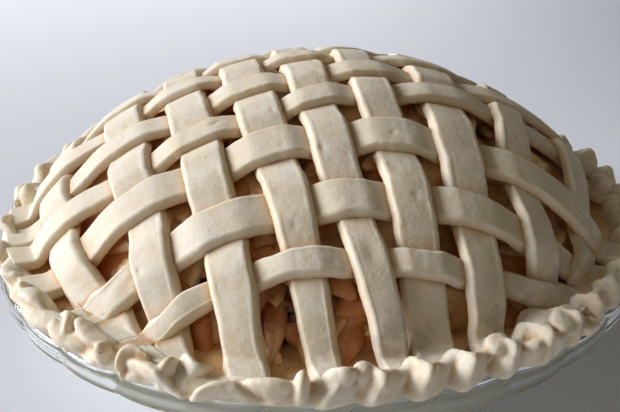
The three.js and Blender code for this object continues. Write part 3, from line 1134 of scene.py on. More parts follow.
    def build_strip(self, strip: Strip) -> bpy.types.Object:
        """Builds one strip.

        Args:
            strip: The strip.

        Returns:
            The strip's object.
        """
        seed = 100 * strip.index + (7 if strip.run is Run.LONG else 53)
        across, inset, height, top = self.section().T
        starts, stops = self.ends(strip, across, -1.0), self.ends(strip, across, 1.0)
        along = starts + (stops - starts) * np.linspace(0.0, 1.0, self.rows)[:, None]
        half = strip.half_width(self.dome, along)
        left = -half + wander(along, seed, self.edge_wander)
        right = half + wander(along, seed + 1, self.edge_wander)
        aside = strip.line(along) + wander(along, seed + 2, *self.line_wander)
        aside = aside + left * (1 - across) / 2 + right * (1 + across) / 2
        aside = aside - np.sign(across) * inset * np.minimum(1.0, half / (self.thickness * 1.5))
        x, y = strip.run.plan(along, aside)
        crossed = self.crossings(strip, aside)
        settled = smooth_step((np.hypot(x, y) - self.tuck[0]) / (self.tuck[1] - self.tuck[0]))
        offset = self.weave(along, crossed) * (1 - settled) * self.lift + height
        offset += top * wander(along, seed + 3, *self.top_wander)
        offset += self._bead(along, across, seed) * top
        for dent in self.dents(strip):
            gap = np.hypot(along - dent.along * MM, (across - dent.aside) * half)
            offset -= top * dent.depth * MM * np.exp(-((gap / (dent.radius * MM)) ** 2))
        points = self.dome.point(x, y, offset)
        piece = add_piece(f"dough_{strip.node()}", *skin(points, wrap=False))
        # painted shade: warmer and darker down each cut side's foot and where the strip slips under a
        # neighbour
        foot = self.shade * np.clip(0.5 - height / self.thickness, 0.0, 1.0) ** self.shade_fade
        give(piece, "crease_shade", np.maximum(foot, self.shade * self.contact(along, crossed)))
        return piece

    def _bead(self, along: Array, across: Array, seed: int) -> Array:
        """The low bead that a cutting wheel leaves beside each cut edge, here and there.

        Args:
            along: Distance along the strip.
            across: Place across it, from -1 to 1.
            seed: The strip's seed.

        Returns:
            The bead's height.
        """
        bead = np.exp(-(((np.abs(across) - self.lip_span[0]) / self.lip_span[1]) ** 2))
        strength = smooth_step(0.5 + wander(along, seed + 4, 0.8, 0.05) * np.sign(across))
        return self.lip * bead * strength

    def dents(self, strip: Strip) -> list[Dent]:
        """The marks on one strip: those that are set, and small ones drawn by its seed.

        Args:
            strip: The strip.

        Returns:
            The marks.
        """
        draw = np.random.default_rng(900 + 40 * strip.index + (strip.run is Run.CROSS))
        drawn = [
            Dent(strip.node(), *(draw.uniform(*span) for span in self.mark_spans))
            for _ in range(self.random_marks)
        ]
        return [mark for mark in self.marks if mark.strip == strip.node()] + drawn

    def build(self, relief: Relief, dough: bpy.types.Material) -> list[bpy.types.Object]:
        """Builds and dresses every strip.

        Args:
            relief: The tree that roughens dough.
            dough: The dough's material.

        Returns:
            The strips' objects.
        """
        made = []
        for strip in self.strips(Run.LONG) + self.strips(Run.CROSS):
            piece = self.build_strip(strip)
            relief.apply(piece, dough, self.grain, len(made))
            settle(piece, "raw_dough", strip.node())
            made.append(piece)
        return made


def settle(piece: bpy.types.Object, slot: str, *nodes: str) -> None:
    """Attaches a finished piece to the body and hides the CAD nodes that it stands for.

    Args:
        piece: The finished piece.
        slot: A material slot's name; not used.
        nodes: The CAD nodes that it replaces.
    """
    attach(piece, BODY)
    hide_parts(*nodes)
    LOG.info("%s: %d faces", piece.name, len(piece.data.polygons))


@dataclass
class GlassDish:
    """The pressed-glass pie dish with its fluted band."""

    bowl: Bowl
    rim_radius: float = 125 * MM
    flange: float = 4.4 * MM
    collar_drop: float = 8.8 * MM
    collar_thickness: float = 4.6 * MM
    flutes: int = 32
    flute_depth: float = 0.9 * MM
    flute_shape: float = 0.7  # below 1 the flutes are round and the grooves sharp
    arcs: tuple[float, ...] = (2.5, 1.4, 1.3, 1.9, 1.8, 2.2)  # of the rim's edges, millimetres
    segments: int = 512

    def build(self, glass: bpy.types.Material) -> bpy.types.Object:
        """Builds and dresses the dish.

        Args:
            glass: The glass's material.

        Returns:
            The dish's object.
        """
        bowl = self.bowl
        under, foot = bowl.height - self.flange, bowl.height - self.collar_drop
        inner = self.rim_radius - self.collar_thickness
        outside = bowl.profile(-bowl.glass, under)
        inside = bowl.profile(0.0, bowl.height)[::-1]
        collar = [(inner, under), (inner, foot), (self.rim_radius, foot), (self.rim_radius, bowl.height)]
        edges = zip([outside[-1], *collar, inside[0]], self.arcs)
        corners = [(r, z, 0.0) for r, z in outside[:-1]]
        corners += [(*place, arc * MM) for place, arc in edges]
        corners += [(r, z, 0.0) for r, z in inside[1:]]
        path = rounded(corners)
        angles = full_turn(self.segments)
        scallop = np.abs(np.sin(angles * self.flutes / 2)) ** self.flute_shape
        dip = self.flute_depth * (1 - scallop)
        outermost = smooth_step((path[:, 0] - inner) / (self.rim_radius - inner))
        radii = path[None, 1:-1, 0] - dip[:, None] * outermost[None, 1:-1]
        piece = add_piece("clear_glass_dish", *lathe(radii, path[:, 1], angles))
        piece.data.materials.append(glass)
        settle(piece, "clear_glass", "glass_dish")
        return piece


SLAB = 3.2  # how square a lying flap is: 2 is an ellipsoid, more is a slab
STEM = 0.15  # the least radius that a ring of a standing flap's foot counts as having
FLARE = 0.35  # how much wider than the flap's middle its foot is, as a share
DEEP = 1.6  # how many times deeper its foot reaches than its top is high


@dataclass(frozen=True)
class Fold:
    """A folded flap of dough on the rim: where it is, its half sizes and how it is bent."""

    angle: float  # degrees round the pie
    radius: float  # millimetres, as the rest
    height: float
    along: float
    across: float
    up: float
    lean: float = 0.0  # degrees that its top leans outwards
    twist: float = 0.0  # degrees that it tips along the rim
    turn: float = 0.0  # degrees that it is turned about the vertical
    curl: float = 0.0  # how far its two ends bend outwards
    lip: float = 0.0  # how far its top and foot bend outwards
    stands: bool = True  # on the rim, as a tongue; otherwise it lies as a rounded lump

    def shape(self) -> tuple[Array, Faces]:
        """Makes the flap.

        Returns:
            Its points, in metres round the pie's axis, and its faces.
        """
        unit, faces = ball(28, 18)
        if self.stands:
            under = unit[:, 2] < 0
            size = np.maximum(np.hypot(unit[:, 0], unit[:, 1]), STEM)
            grow = np.where(under, (1 + FLARE * unit[:, 2] ** 2) / size, 1.0)
            unit = unit * np.stack([grow, grow, np.where(under, DEEP, 1.0)], axis=-1)
        else:
            unit = unit / ((np.abs(unit) ** SLAB).sum(axis=1) ** (1 / SLAB))[:, None]
        points = unit * np.array([self.across, self.along, self.up])
        points[:, 0] += self.curl * unit[:, 1] ** 2 + self.lip * unit[:, 2] ** 2
        spin = rotation(self.angle, "Z")
        frame = spin @ rotation(self.turn, "Z") @ rotation(self.lean, "Y") @ rotation(self.twist, "X")
        place = spin @ Vector((self.radius, 0, self.height))
        return (points @ np.array(frame).T + np.array(place)) * MM, faces


def rotation(degrees: float, axis: str) -> Matrix:
    """A turn about one axis."""
    return Matrix.Rotation(math.radians(degrees), 3, axis)


Waves = tuple[tuple[float, int, float], ...]  # each wave's size, count round the pie and phase


def waves(angle: Array, parts: Waves, start: float = 0.0) -> Array:
    """A number and the waves that are added to it, round the pie."""
    return sum((size * np.sin(count * angle + phase) for size, count, phase in parts), start)


@dataclass
class Crust:
    """The bottom crust: its lining in the dish and the pinched edge on the rim."""

    bowl: Bowl
    reach_in: float = 0.25 * MM  # into the glass, so that no air shows between them
    thickness: float = 4.3 * MM
    ledge: float = 0.9 * MM  # of the sheet under the filling's brim
    ledge_radius: float = 118 * MM
    arcs: tuple[float, float, float] = (1.0 * MM, 1.2 * MM, 1.5 * MM)  # of the sheet's edges
    radius: float = 118.2 * MM
    height: float = 8.2 * MM
    back_drop: float = 3 * MM
    dips: Waves = ((-0.8 * MM, 4, 0),)
    drifts: Waves = ((-1.4 * MM, 1, 0), (0.8 * MM, 3, 2))
    uneven: Waves = ((0.3, 5, 1.2), (0.2, 11, 0.4))
    pinches: int = 42
    crowding: float = 14.0
    crowded_side: float = math.radians(-72)
    steepness: float = 0.7  # of one side of a pinch
    lead: float = 1.1  # radians by which a pinch's height runs before its sway
    sway: float = 2.5 * MM
    lift: float = 1.5 * MM
    slant: float = 4.5 * MM  # how far a pinch's top lies along the rim from its foot
    worked: tuple[float, float] = (-186.0, -92.0)  # degrees: here the hand left folds instead
    worked_height: float = 5.6 * MM
    worked_calm: float = 0.6  # how much less the pinches stand out there
    worked_fade: float = 0.08  # radians
    voxel: float = 0.62 * MM
    smoothing: int = 7
    grain: Grain = (9, 2.0, 2.6, 0.3)
    grain_seed: int = 77
    crease_shade: tuple[int, float] = (4, 0.11)  # the painted shade of the hollows: how often it is spread, and what counts as full
    edge_steps: int = 1400
    section_steps: int = 40
    lining_steps: int = 240
    section: tuple[tuple[float, float, float], ...] = (
        (-4.4, -0.05, 0.0),
        (-3.9, 0.42, 0.3),
        (-2.3, 0.86, 0.9),
        (0.2, 1.03, 1.1),
        (2.6, 0.84, 1.1),
        (4.3, 0.42, 0.9),
        (4.6, -0.05, 0.5),
    )
    folds: tuple[Fold, ...] = (
        Fold(178.5, 115, 54.5, 5.5, 3.4, 4.5, 4, 0, 20, -1.5),
        Fold(-171, 119.5, 52, 8.5, 2.3, 5.5, 22, 10, 8, -2.5, 1),
        Fold(-163, 120.5, 51.5, 6.5, 2.2, 4.6, 30, -16, -12, 2, 1),
        Fold(-155, 121, 51, 7, 2.4, 4.2, 34, 10, 14, -2, 1),
        Fold(-148.5, 120, 52, 3.6, 2.4, 4.2, 12, -10, -16, 1.5, 1),
        Fold(-144.5, 119.6, 53.4, 9.0, 3.0, 5.2, 34, 8, 10, 1.5, 1.5),
        Fold(-142, 122.4, 51.2, 11, 3.8, 2.4, 24, -3, -2, -2.5, -1, False),
        Fold(-135.5, 118.5, 52.5, 6.5, 2.0, 4.0, 6, 10, -30, 2),
        Fold(-133.5, 123.2, 50.8, 8.5, 2.8, 2.2, 30, -7, 4, -2, 0, False),
        Fold(-129.5, 119, 52.5, 9.5, 3.0, 5.4, 36, -8, -8, -2, 1.5),
        Fold(-126, 122.4, 51.5, 2.6, 3.0, 5.4, 18, 8),
        Fold(-121.6, 120.2, 53, 5.4, 1.9, 4.4, -4, 22, 34, 3.5),
        Fold(-118.6, 122.4, 51.5, 9.6, 2.4, 5.0, 26, 20, -8, 1.5),
        Fold(-115.6, 121.4, 51.5, 2.2, 4.8, 6, 14, -8, -12),
        Fold(-112, 119.4, 52.5, 5.2, 2.2, 4.6, 10, -24, 0, -4),
        Fold(-107, 122.8, 50.8, 8.5, 2.4, 4.4, 24, -12, 6, 2.5),
        Fold(-101, 121.6, 51.6, 8.5, 2.4, 4.8, 16, 6, -4, -1),
        Fold(-96.8, 120.8, 52, 2.6, 4.2, 6.2, 12, -6),
        Fold(-91.4, 120.4, 53, 5.0, 2.4, 6.6, 12, -22, 12, -3),
        Fold(-88.2, 118.2, 54.4, 3.6, 3.2, 3.8),
        Fold(-67.8, 118.4, 55.6, 4.4, 3.2, 2.2, 10, -6, 12, 0, 0, False),
        Fold(-62.8, 122.4, 52.4, 3.6, 2.8, 3.2, 12, 10),
        Fold(-59.2, 123.2, 51.4, 5.4, 2.6, 5.0, 20, -16, -8, -1.5),
        Fold(-54.6, 120.4, 54.6, 7, 4.4, 2.0, 16, -4, 8, 1, -1, False),
        Fold(-51.4, 124.2, 51, 4, 3, 2.2, 0, 0, 0, 0, 0, False),
        Fold(-59, 114.6, 54.4, 6.4, 5.0, 1.7, -4, 6, 24, 0, 1, False),
        Fold(-6, 114, 55, 5.0, 4.0, 6.2, -8, 10, 10, -1),
        Fold(-12, 115.6, 53, 6, 3.0, 4.4, 0, -10, -16, 1.5),
        Fold(95, 118.5, 52, 8, 2.6, 5, 10, 14, 10, -2),
        Fold(132, 119, 51.5, 9, 2.4, 4.6, 16, -14, -8, 2),
        Fold(44, 118.5, 51.5, 8, 2.6, 4.4, 12, 10, 8, 2),
    )

    def pinch_shape(self, angle: Array) -> tuple[Array, Array]:
        """The pinched edge's form round the pie.

        Args:
            angle: The places, in radians.

        Returns:
            How far the edge sways out and how high it stands.
        """
        phase = self.pinches * angle + self.crowding * np.sin(angle - self.crowded_side)
        ridge = np.sin(phase + self.steepness * np.sin(phase))
        dip = waves(angle, self.dips, self.back_drop * (0.5 + 0.5 * np.sin(angle)))
        start, stop = (math.radians(a) for a in self.worked)
        past, fade = (angle - start) % (2 * np.pi), self.worked_fade
        worked = smooth_step(past / fade) * smooth_step((stop - start - past) / fade)
        strength = waves(angle, self.uneven, 1.0) * (1 - self.worked_calm * worked)
        height = self.height - dip + self.lift * strength * np.sin(phase + self.lead)
        height = height + (self.worked_height - self.height) * worked
        return self.sway * strength * ridge + waves(angle, self.drifts), height

    def build_edge(self) -> bpy.types.Object:
        """Builds the pinched edge with its folds, as one skin.

        Returns:
            The edge.
        """
        angles = full_turn(self.edge_steps)
        control = np.array(self.section)
        shift = control[:, 1] * self.slant / self.radius
        sway, height = self.pinch_shape(angles[:, None] - shift)
        radius = self.radius + control[:, 0] * MM + control[:, 2] * sway
        shelf = self.bowl.height
        level = shelf + control[:, 1] * height
        weights = closed_spline(len(control), self.section_steps).T
        radius, level = radius @ weights, np.maximum(level @ weights, shelf - self.reach_in)
        x, y = radius * np.cos(angles)[:, None], radius * np.sin(angles)[:, None]
        rows = np.stack([x, y, level], axis=-1)
        edge = add_piece("dough_pinched_edge", *skin(rows, wrap=True))
        flaps = []
        for fold in self.folds:
            points, faces = fold.shape()
            points[:, 2] = np.maximum(points[:, 2], shelf - self.reach_in)
            flaps.append(add_piece("flap", points, faces))
        return fuse(edge, flaps, self.voxel, self.smoothing)

    def build_lining(self) -> bpy.types.Object:
        """Builds the crust inside the dish, which shows through the glass.

        Returns:
            The lining.
        """
        bowl, edge = self.bowl, self.ledge_radius
        shelf, brim = bowl.height - self.reach_in, bowl.height + self.ledge
        outer = [(r, z, 0.0) for r, z in bowl.profile(-self.reach_in, shelf)]
        first, *inner = bowl.profile(self.thickness, brim)[::-1]
        turns = zip([(edge, shelf), (edge, brim), first], self.arcs)
        corners = [*outer, *[(*place, arc) for place, arc in turns], *[(r, z, 0.0) for r, z in inner]]
        path, angles = rounded(corners), full_turn(self.lining_steps)
        radii = np.broadcast_to(path[None, 1:-1, 0], (len(angles), len(path) - 2))
        return add_piece("dough_lining", *lathe(radii, path[:, 1], angles))

    def build(self, relief: Relief, dough: bpy.types.Material) -> list[bpy.types.Object]:
        """Builds and dresses the crust.

        Args:
            relief: The tree that roughens dough.
            dough: The dough's material.

        Returns:
            The edge and the lining.
        """
        edge = self.build_edge()
        relief.apply(edge, dough, self.grain, self.grain_seed)
        # painted shade in the edge's hollows
        give(edge, "crease_shade", creases(edge, *self.crease_shade))
        lining = self.build_lining()
        lining.data.materials.append(dough)
        for piece in (edge, lining):
            settle(piece, "raw_dough", "crust")
        return [edge, lining]


def closed_spline(controls: int, samples: int) -> Array:
    """Weights that turn a closed ring of control points into a smooth one.

    Args:
        controls: The number of control points.
        samples: The number of points on the smooth ring.

    Returns:
        A matrix of Catmull-Rom weights, shape (samples, controls).
    """
    weights = np.zeros((samples, controls))
    for row in range(samples):
        place = row / samples * controls
        start, t = int(place), place - int(place)
        blend = (
            -0.5 * t + t * t - 0.5 * t**3,
            1 - 2.5 * t * t + 1.5 * t**3,
            0.5 * t + 2 * t * t - 1.5 * t**3,
            -0.5 * t * t + 0.5 * t**3,
        )
        for offset, weight in zip((-1, 0, 1, 2), blend):
            weights[row, (start + offset) % controls] += weight
    return weights


def ball(around: int, rings: int) -> tuple[Array, Faces]:
    """A unit ball.

    Args:
        around: Points round the equator.
        rings: Rings from pole to pole.

    Returns:
        The vertices and the faces.
    """
    turn = np.linspace(-np.pi / 2, np.pi / 2, rings + 1)
    radii = np.broadcast_to(np.cos(turn)[None, 1:-1], (around, rings - 1))
    return lathe(radii, np.sin(turn), full_turn(around))


def fuse(
    base: bpy.types.Object, others: Sequence[bpy.types.Object], voxel: float, smoothing: int
) -> bpy.types.Object:
    """Joins pieces into one skin and softens where they meet.

    Args:
        base: The piece that keeps its name.
        others: The pieces that are joined to it.
        voxel: The new skin's face size, in metres.
        smoothing: How many times it is smoothed.

    Returns:
        The base, with its new mesh.
    """
    with bpy.context.temp_override(active_object=base, selected_editable_objects=[base, *others]):
        bpy.ops.object.join()
    remesh = base.modifiers.new("skin", "REMESH")
    remesh.mode = "VOXEL"
    remesh.voxel_size = voxel
    remesh.use_smooth_shade = True
    soften = base.modifiers.new("soften", "SMOOTH")
    soften.iterations = smoothing
    soften.factor = 0.5
    freeze(base)
    return base


GOLDEN_TURN = math.pi * (3 - math.sqrt(5))


def squared(wave: float, power: float) -> float:
    """A sine or cosine made squarer by a power below 1."""
    return math.copysign(abs(wave) ** power, wave)


@dataclass
class Filling:
    """The heap of apple slices: a core, darkened by painted shade, with the slices laid over it in layers.
    """

    bowl: Bowl
    dome: Dome
    core_depth: float = 17 * MM
    core_reach: float = 105 * MM
    core_gap: float = 4.6 * MM  # from the glass to the core
    core_brim: float = 2 * MM  # above the dish
    core_rings: int = 60
    core_meridians: int = 180
    skirt: tuple[tuple[float, float], ...] = (  # its brim's radius and height, millimetres
        (107, 48.4),
        (114.2, 48.4),
        (114.8, 48.9),
        (113.6, 49.3),
        (106, 49.6),
        (99, 50.5),
    )
    length: float = 46 * MM
    width: float = 17 * MM
    thick: float = 6.5 * MM  # at the peel side
    thin: float = 2.6 * MM  # at the core side
    layers: tuple[tuple[int, float, float], ...] = (  # slices, depth and unevenness
        (132, 3.2 * MM, 0.14),
        (110, 6.5 * MM, 0.26),
        (80, 12 * MM, 0.35),
    )
    spread: float = 100 * MM  # the layers' radius
    crowding: float = 0.46  # below 0.5 the slices lie closer at the rim
    layer_turn: float = 1.7  # radians between two layers' first slices
    ring: tuple[int, float, float, float] = (  # the rim's slices, radius, depth and unevenness
        58,
        106 * MM,
        3.4 * MM,
        0.2,
    )
    stray: float = 4 * MM  # of a slice from its place
    growth: tuple[float, float] = (0.82, 1.15)  # a slice's least and greatest size
    brim: float = 115 * MM
    wall: float = 103.5 * MM  # past this radius the slices lie on the crust's ledge
    ledge: float = 48.7 * MM
    wall_gap: float = 3 * MM  # from the glass to the slices, within the crust's thickness
    shade_depths: tuple[float, float] = (7.5 * MM, 14 * MM)  # depths where the painted shade starts and is full
    seed: int = 11
    core_grain: Grain = (16, 3.5, 4, 0.8)
    slice_grain: Grain = (16, 1.1, 4, 0.35)
    grain_seed: int = 3
    slice_rows: int = 20
    slice_points: int = 12
    bend: float = 1.15  # radians from a slice's middle to its tip
    bluntness: float = 0.97  # the share of its swing at which it ends; 1 is a sharp tip
    fullness: float = 0.62  # below 1 it stays deep almost to its tips
    tip: float = 0.6 * MM  # how deep its very tip is
    squareness: tuple[float, float] = (0.6, 0.55)  # of its section, across and through; 1 is round
    tip_thickness: float = 0.35  # as a share of the middle's
    peeled: tuple[float, float] = (0.86, 0.12)  # where across it the peel side starts, and how softly
    settling_steps: int = 6

    def build_slice(self) -> bpy.types.Object:
        """Builds one apple slice: a crescent wedge, thick at its peel side.

        Returns:
            The slice.
        """
        rows, around, bend = self.slice_rows, self.slice_points, self.bend
        turns = np.linspace(-bend, bend, rows)
        outer_radius = self.length / 2 / math.sin(bend)
        rings, peel = [], []
        for turn in turns:
            reach = math.cos(turn * math.pi / 2 / bend * self.bluntness)
            depth = self.width * max(reach, 0.0) ** self.fullness + self.tip
            swell = self.tip_thickness + (1 - self.tip_thickness) * reach
            arm = np.array([math.sin(turn), math.cos(turn)])
            for j in range(around):
                spin = 2 * math.pi * j / around
                across = 0.5 + 0.5 * squared(math.cos(spin), self.squareness[0])
                slab = squared(math.sin(spin), self.squareness[1])
                thickness = (self.thin + (self.thick - self.thin) * across) * swell
                flat = arm * (outer_radius - depth * (1 - across))
                centre = outer_radius - self.width / 2
                rings.append((flat[0], flat[1] - centre, slab * thickness / 2))
                peel.append(smooth_step((across - self.peeled[0]) / self.peeled[1]))
        points = np.array(rings).reshape(rows, around, 3)
        piece = add_piece("apple_slice_pattern", *skin(points, wrap=False))
        give(piece, "peel", np.array(peel))
        return piece

    def place_slices(self, shape: Array) -> tuple[Array, Array, Array, Array]:
        """Lays the slices out, each as high as the lattice over it allows.

        Args:
            shape: One slice's points.

        Returns:
            The slices' places, turns as Euler angles, sizes and tones.
        """
        draw = np.random.default_rng(self.seed)
        places, turns, sizes, tones = [], [], [], []
        spots = []
        for layer, (count, depth, tilt) in enumerate(self.layers):
            for i in range(count):
                reach = self.spread * ((i + 0.5) / count) ** self.crowding
                spots.append((reach, i * GOLDEN_TURN + self.layer_turn * layer, depth, tilt))
        count, radius, *rest = self.ring
        spots += [(radius, 2 * math.pi * i / count, *rest) for i in range(count)]
        for reach, turn, depth, tilt in spots:
            x = reach * math.cos(turn) + draw.uniform(-self.stray, self.stray)
            y = reach * math.sin(turn) + draw.uniform(-self.stray, self.stray)
            size = draw.uniform(*self.growth, 3)
            tips = (draw.normal(0, tilt), draw.normal(0, tilt))
            spin = Euler((*tips, draw.uniform(0, 2 * math.pi))).to_matrix()
            local = (shape * size) @ np.array(spin).T
            place, frame = self._fit(local, x, y, depth)
            places.append(place)
            turns.append(tuple((frame @ spin).to_euler()))
            sizes.append(size)
            tones.append(draw.uniform(0.0, 1.0))
        return np.array(places), np.array(turns), np.array(sizes), np.array(tones)

    def _fit(self, local: Array, x: float, y: float, depth: float) -> tuple[Array, Matrix]:
        """Moves a slice down off the lattice and in from the brim.

        Args:
            local: The slice's points, turned but lying flat at the origin.
            x: Where its middle goes.
            y: Where its middle goes.
            depth: How far its highest point stays under the dome.

        Returns:
            The place of its middle and the turn that lays it on the dome.
        """
        drop = depth
        for _ in range(self.settling_steps):
            normal = self.dome.normal(np.array(x), np.array(y))
            frame = Vector((0, 0, 1)).rotation_difference(Vector(normal)).to_matrix()
            place = self.dome.point(np.array(x), np.array(y), -drop)
            points = local @ np.array(frame).T + place
            outside = np.hypot(points[:, 0], points[:, 1]).max() - self.brim
            if outside > 0:
                pull = outside / math.hypot(x, y)
                x, y = x * (1 - pull), y * (1 - pull)
            level = self.dome.level(points[:, 0], points[:, 1])
            upright = self.dome.normal(points[:, 0], points[:, 1])[:, 2]
            drop += ((points[:, 2] - level) * upright).max() + depth
        return place, frame

    def _keep_inside(self, mesh: bpy.types.Mesh) -> None:
        """Lays what lies past the wall on the crust's ledge, and draws the rest inside it.

        Args:
            mesh: The slices' mesh.
        """
        slope = math.tan(self.bowl.lean())
        for vertex in mesh.vertices:
            reach = math.hypot(vertex.co.x, vertex.co.y)
            if reach > self.wall:
                vertex.co.z = max(vertex.co.z, self.ledge)
            below = self.bowl.height - vertex.co.z
            inside = self.bowl.mouth_radius - below * slope - self.wall_gap
            if below > 0 and reach > inside:
                vertex.co.x *= inside / reach
                vertex.co.y *= inside / reach

    def depth_shade(self, piece: bpy.types.Object) -> Array:
        """How much painted shade each point gets: more the deeper it lies under the dome.

        Args:
            piece: The core or the slices.

        Returns:
            One number for each point, from 0 to 1.
        """
        x, y, z = read(piece.data.vertices, "co", 3).T
        level, upright = self.dome.level(x, y), self.dome.normal(x, y)[:, 2]
        start, full = self.shade_depths
        return smooth_step(((level - z) * upright - start) / (full - start))

    def build_core(self) -> bpy.types.Object:
        """Builds the core that closes the view between the slices.

        Returns:
            The core.
        """
        path = self.bowl.profile(self.core_gap, self.bowl.height + self.core_brim)
        skirt = [(r * MM, z * MM) for r, z in self.skirt]
        reach = self.core_reach * np.cos(np.linspace(0, np.pi / 2, self.core_rings))[:-1]
        meridians = []
        for angle in full_turn(self.core_meridians):
            x, y = reach * math.cos(angle), reach * math.sin(angle)
            top = self.dome.point(x, y, np.full_like(reach, -self.core_depth))
            side = [(r * math.cos(angle), r * math.sin(angle), z) for r, z in [*path[1:], *skirt]]
            meridians.append(np.vstack([side, top]))
        crown = self.dome.point(np.array(0.0), np.array(0.0), np.array(-self.core_depth))
        poles = [(0, 0, path[0][1]), crown]
        return add_piece("apple_core_heap", *spun(np.array(meridians), poles))

    def build(self, relief: Relief, scatter: Scatter, apple: bpy.types.Material) -> list[bpy.types.Object]:
        """Builds and dresses the filling.

        Args:
            relief: The tree that roughens a surface.
            scatter: The tree that lays the slices.
            apple: The apple's material.

        Returns:
            The core and the slices.
        """
        core = self.build_core()
        relief.apply(core, apple, self.core_grain, self.grain_seed)
        pattern = self.build_slice()
        shape = np.array([v.co for v in pattern.data.vertices])
        places, turns, sizes, tones = self.place_slices(shape)
        mesh = bpy.data.meshes.new("apple_slices")
        mesh.from_pydata(places.tolist(), [], [])
        for name, values in (("turn", turns), ("size", sizes)):
            layer = mesh.attributes.new(name, "FLOAT_VECTOR", "POINT")
            layer.data.foreach_set("vector", values.astype(np.float32).ravel())
        slices = link(bpy.data.objects.new("apple_slices", mesh))
        give(slices, "tone", tones)
        scatter.apply(slices, apple, self.slice_grain, self.grain_seed, pattern)
        bpy.data.objects.remove(pattern)
        self._keep_inside(slices.data)
        for piece in (core, slices):
            # painted shade: darker the deeper each point lies under the dome
            give(piece, "depth_shade", self.depth_shade(piece))
            settle(piece, "spiced_apple", "apple_filling")
        return [core, slices]


# ---------------------------------------------------------------- the studio


@dataclass(frozen=True)
class Daylight:
    """Light from a wide bright window far away."""

    name: str
    bearing: float  # degrees, from +X towards +Y
    elevation: float  # degrees above the floor
    spread: float  # degrees that the window spans
    strength: float
    colour: Colour = (1.0, 1.0, 1.0)

    def build(self) -> None:
        """Adds the light."""
        light = bpy.data.lights.new(self.name, "SUN")
        light.energy, light.color = self.strength, self.colour
        light.angle = math.radians(self.spread)
        made = link(bpy.data.objects.new(self.name, light))
        turn, rise = math.radians(self.bearing), math.radians(self.elevation)
        away = Vector(
            (math.cos(turn) * math.cos(rise), math.sin(turn) * math.cos(rise), math.sin(rise))
        )
        made.rotation_euler = away.to_track_quat("Z", "Y").to_euler()


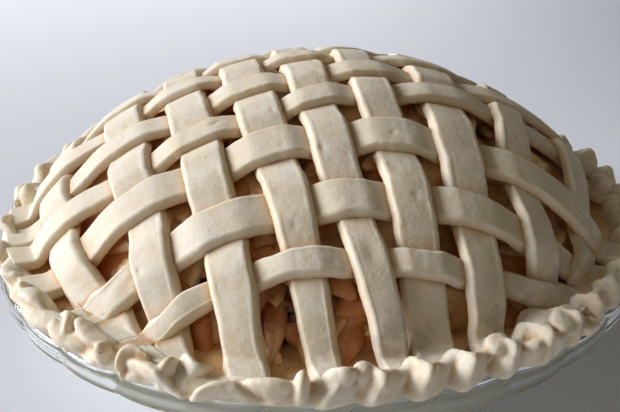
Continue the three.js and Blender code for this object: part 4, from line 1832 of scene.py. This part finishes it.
@dataclass
class Studio:
    """Camera, floor and soft light."""

    camera_place: tuple[float, float, float] = (-25.2 * MM, -310.4 * MM, 212.3 * MM)
    pitch: float = 0.491
    yaw: float = 0.073
    roll: float = -0.010
    focal: float = 863.0  # in pixels of a picture 620 wide
    picture_width: float = 620.0
    sensor: float = 36.0
    floor_colour: Colour = srgb(230, 233, 240)
    # painted shadow: the floor's darkened colour to the right, and the dark end of its glow
    floor_shade: Colour = srgb(88, 90, 96)
    floor_glow: float = 0.45  # painted light: the far floor's glow, which stands for a bright room
    floor_roughness: float = 0.9
    floor_gloss: float = 0.1
    floor_reach: float = 4.0
    floor_far: tuple[float, float] = (0.05, 0.75)  # metres away: where the painted light starts to brighten it, and where it is full
    floor_right: tuple[float, float] = (0.1, 0.5)  # metres right: where the painted shadow starts to darken it, and where it is full
    room: Colour = (0.42, 0.44, 0.46)  # what is seen past the floor and in the glass
    bounce: Colour = (0.078, 0.060, 0.028)  # the weak warm light that comes off the room
    lights: tuple[Daylight, ...] = (
        Daylight("window", 168, 25, 30, 4.0, (0.965, 0.985, 1.08)),
        Daylight("front_left_room", 215, 11, 80, 0.52, (0.99, 0.95, 0.88)),
    )

    def build(self) -> None:
        """Builds the studio."""
        self._add_camera()
        self._add_floor()
        for light in self.lights:
            light.build()
        world = bpy.data.worlds.new("pale_room")
        world.use_nodes = True
        tree = Tree(world.node_tree)
        diffuse = tree.node("ShaderNodeLightPath").outputs["Is Diffuse Ray"]
        colour = tree.mix(diffuse, self.room, self.bounce)
        tree.tree.links.new(colour, tree.tree.nodes["Background"].inputs["Color"])
        bpy.context.scene.world = world
        bpy.context.scene.view_settings.view_transform = "Standard"

    def _add_camera(self) -> None:
        """Adds the camera and makes it the scene's."""
        ahead = Vector(
            (
                math.sin(self.yaw) * math.cos(self.pitch),
                math.cos(self.yaw) * math.cos(self.pitch),
                -math.sin(self.pitch),
            )
        )
        level = Vector((math.cos(self.yaw), -math.sin(self.yaw), 0.0))
        upright = level.cross(ahead)
        right = level * math.cos(self.roll) + upright * math.sin(self.roll)
        up = upright * math.cos(self.roll) - level * math.sin(self.roll)
        camera = bpy.data.cameras.new("camera")
        camera.sensor_width = self.sensor
        camera.lens = self.focal / self.picture_width * self.sensor
        camera.clip_start = 10 * MM
        made = link(bpy.data.objects.new("camera", camera))
        turn = Matrix((right, up, -ahead)).transposed().to_4x4()
        made.matrix_world = Matrix.Translation(self.camera_place) @ turn
        bpy.context.scene.camera = made

    def _add_floor(self) -> None:
        """Adds the pale floor, with a painted shadow darkening it to the right and painted light glowing
        from it far away.
        """
        shader = Shader("pale_floor")
        x, y = shader.plan()
        # painted light far away, and painted shadow to the right
        far = (y - x * 0.5).smooth(*self.floor_far)
        right = (x + y * 0.2).smooth(*self.floor_right)
        shader.set(
            Base_Color=shader.mix(right * 0.6, self.floor_colour, self.floor_shade),
            Roughness=self.floor_roughness,
            Specular_IOR_Level=self.floor_gloss,
            Emission_Color=shader.mix(far, self.floor_shade, self.floor_colour),
            Emission_Strength=self.floor_glow,
        )
        reach = self.floor_reach
        corners = [(-reach, -reach, 0), (reach, -reach, 0), (reach, reach, 0), (-reach, reach, 0)]
        mesh = bpy.data.meshes.new("floor")
        mesh.from_pydata(corners, [], [(0, 1, 2, 3)])
        mesh.materials.append(shader.material)
        link(bpy.data.objects.new("floor", mesh))


def main() -> None:
    """Builds the pie, piece by piece."""
    logging.basicConfig(level=logging.INFO, format="%(name)s: %(message)s")
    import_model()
    Studio().build()
    bowl, dome = Bowl(), Dome()
    dough, apple = RawDough().make(), SpicedApple().make()
    relief, scatter = Relief("surface_relief"), Scatter("apple_scatter")
    GlassDish(bowl).build(ClearGlass().make())
    Crust(bowl).build(relief, dough)
    Filling(bowl, dome).build(relief, scatter, apple)
    Lattice(dome).build(relief, dough)


if __name__ == "__main__":
    main()
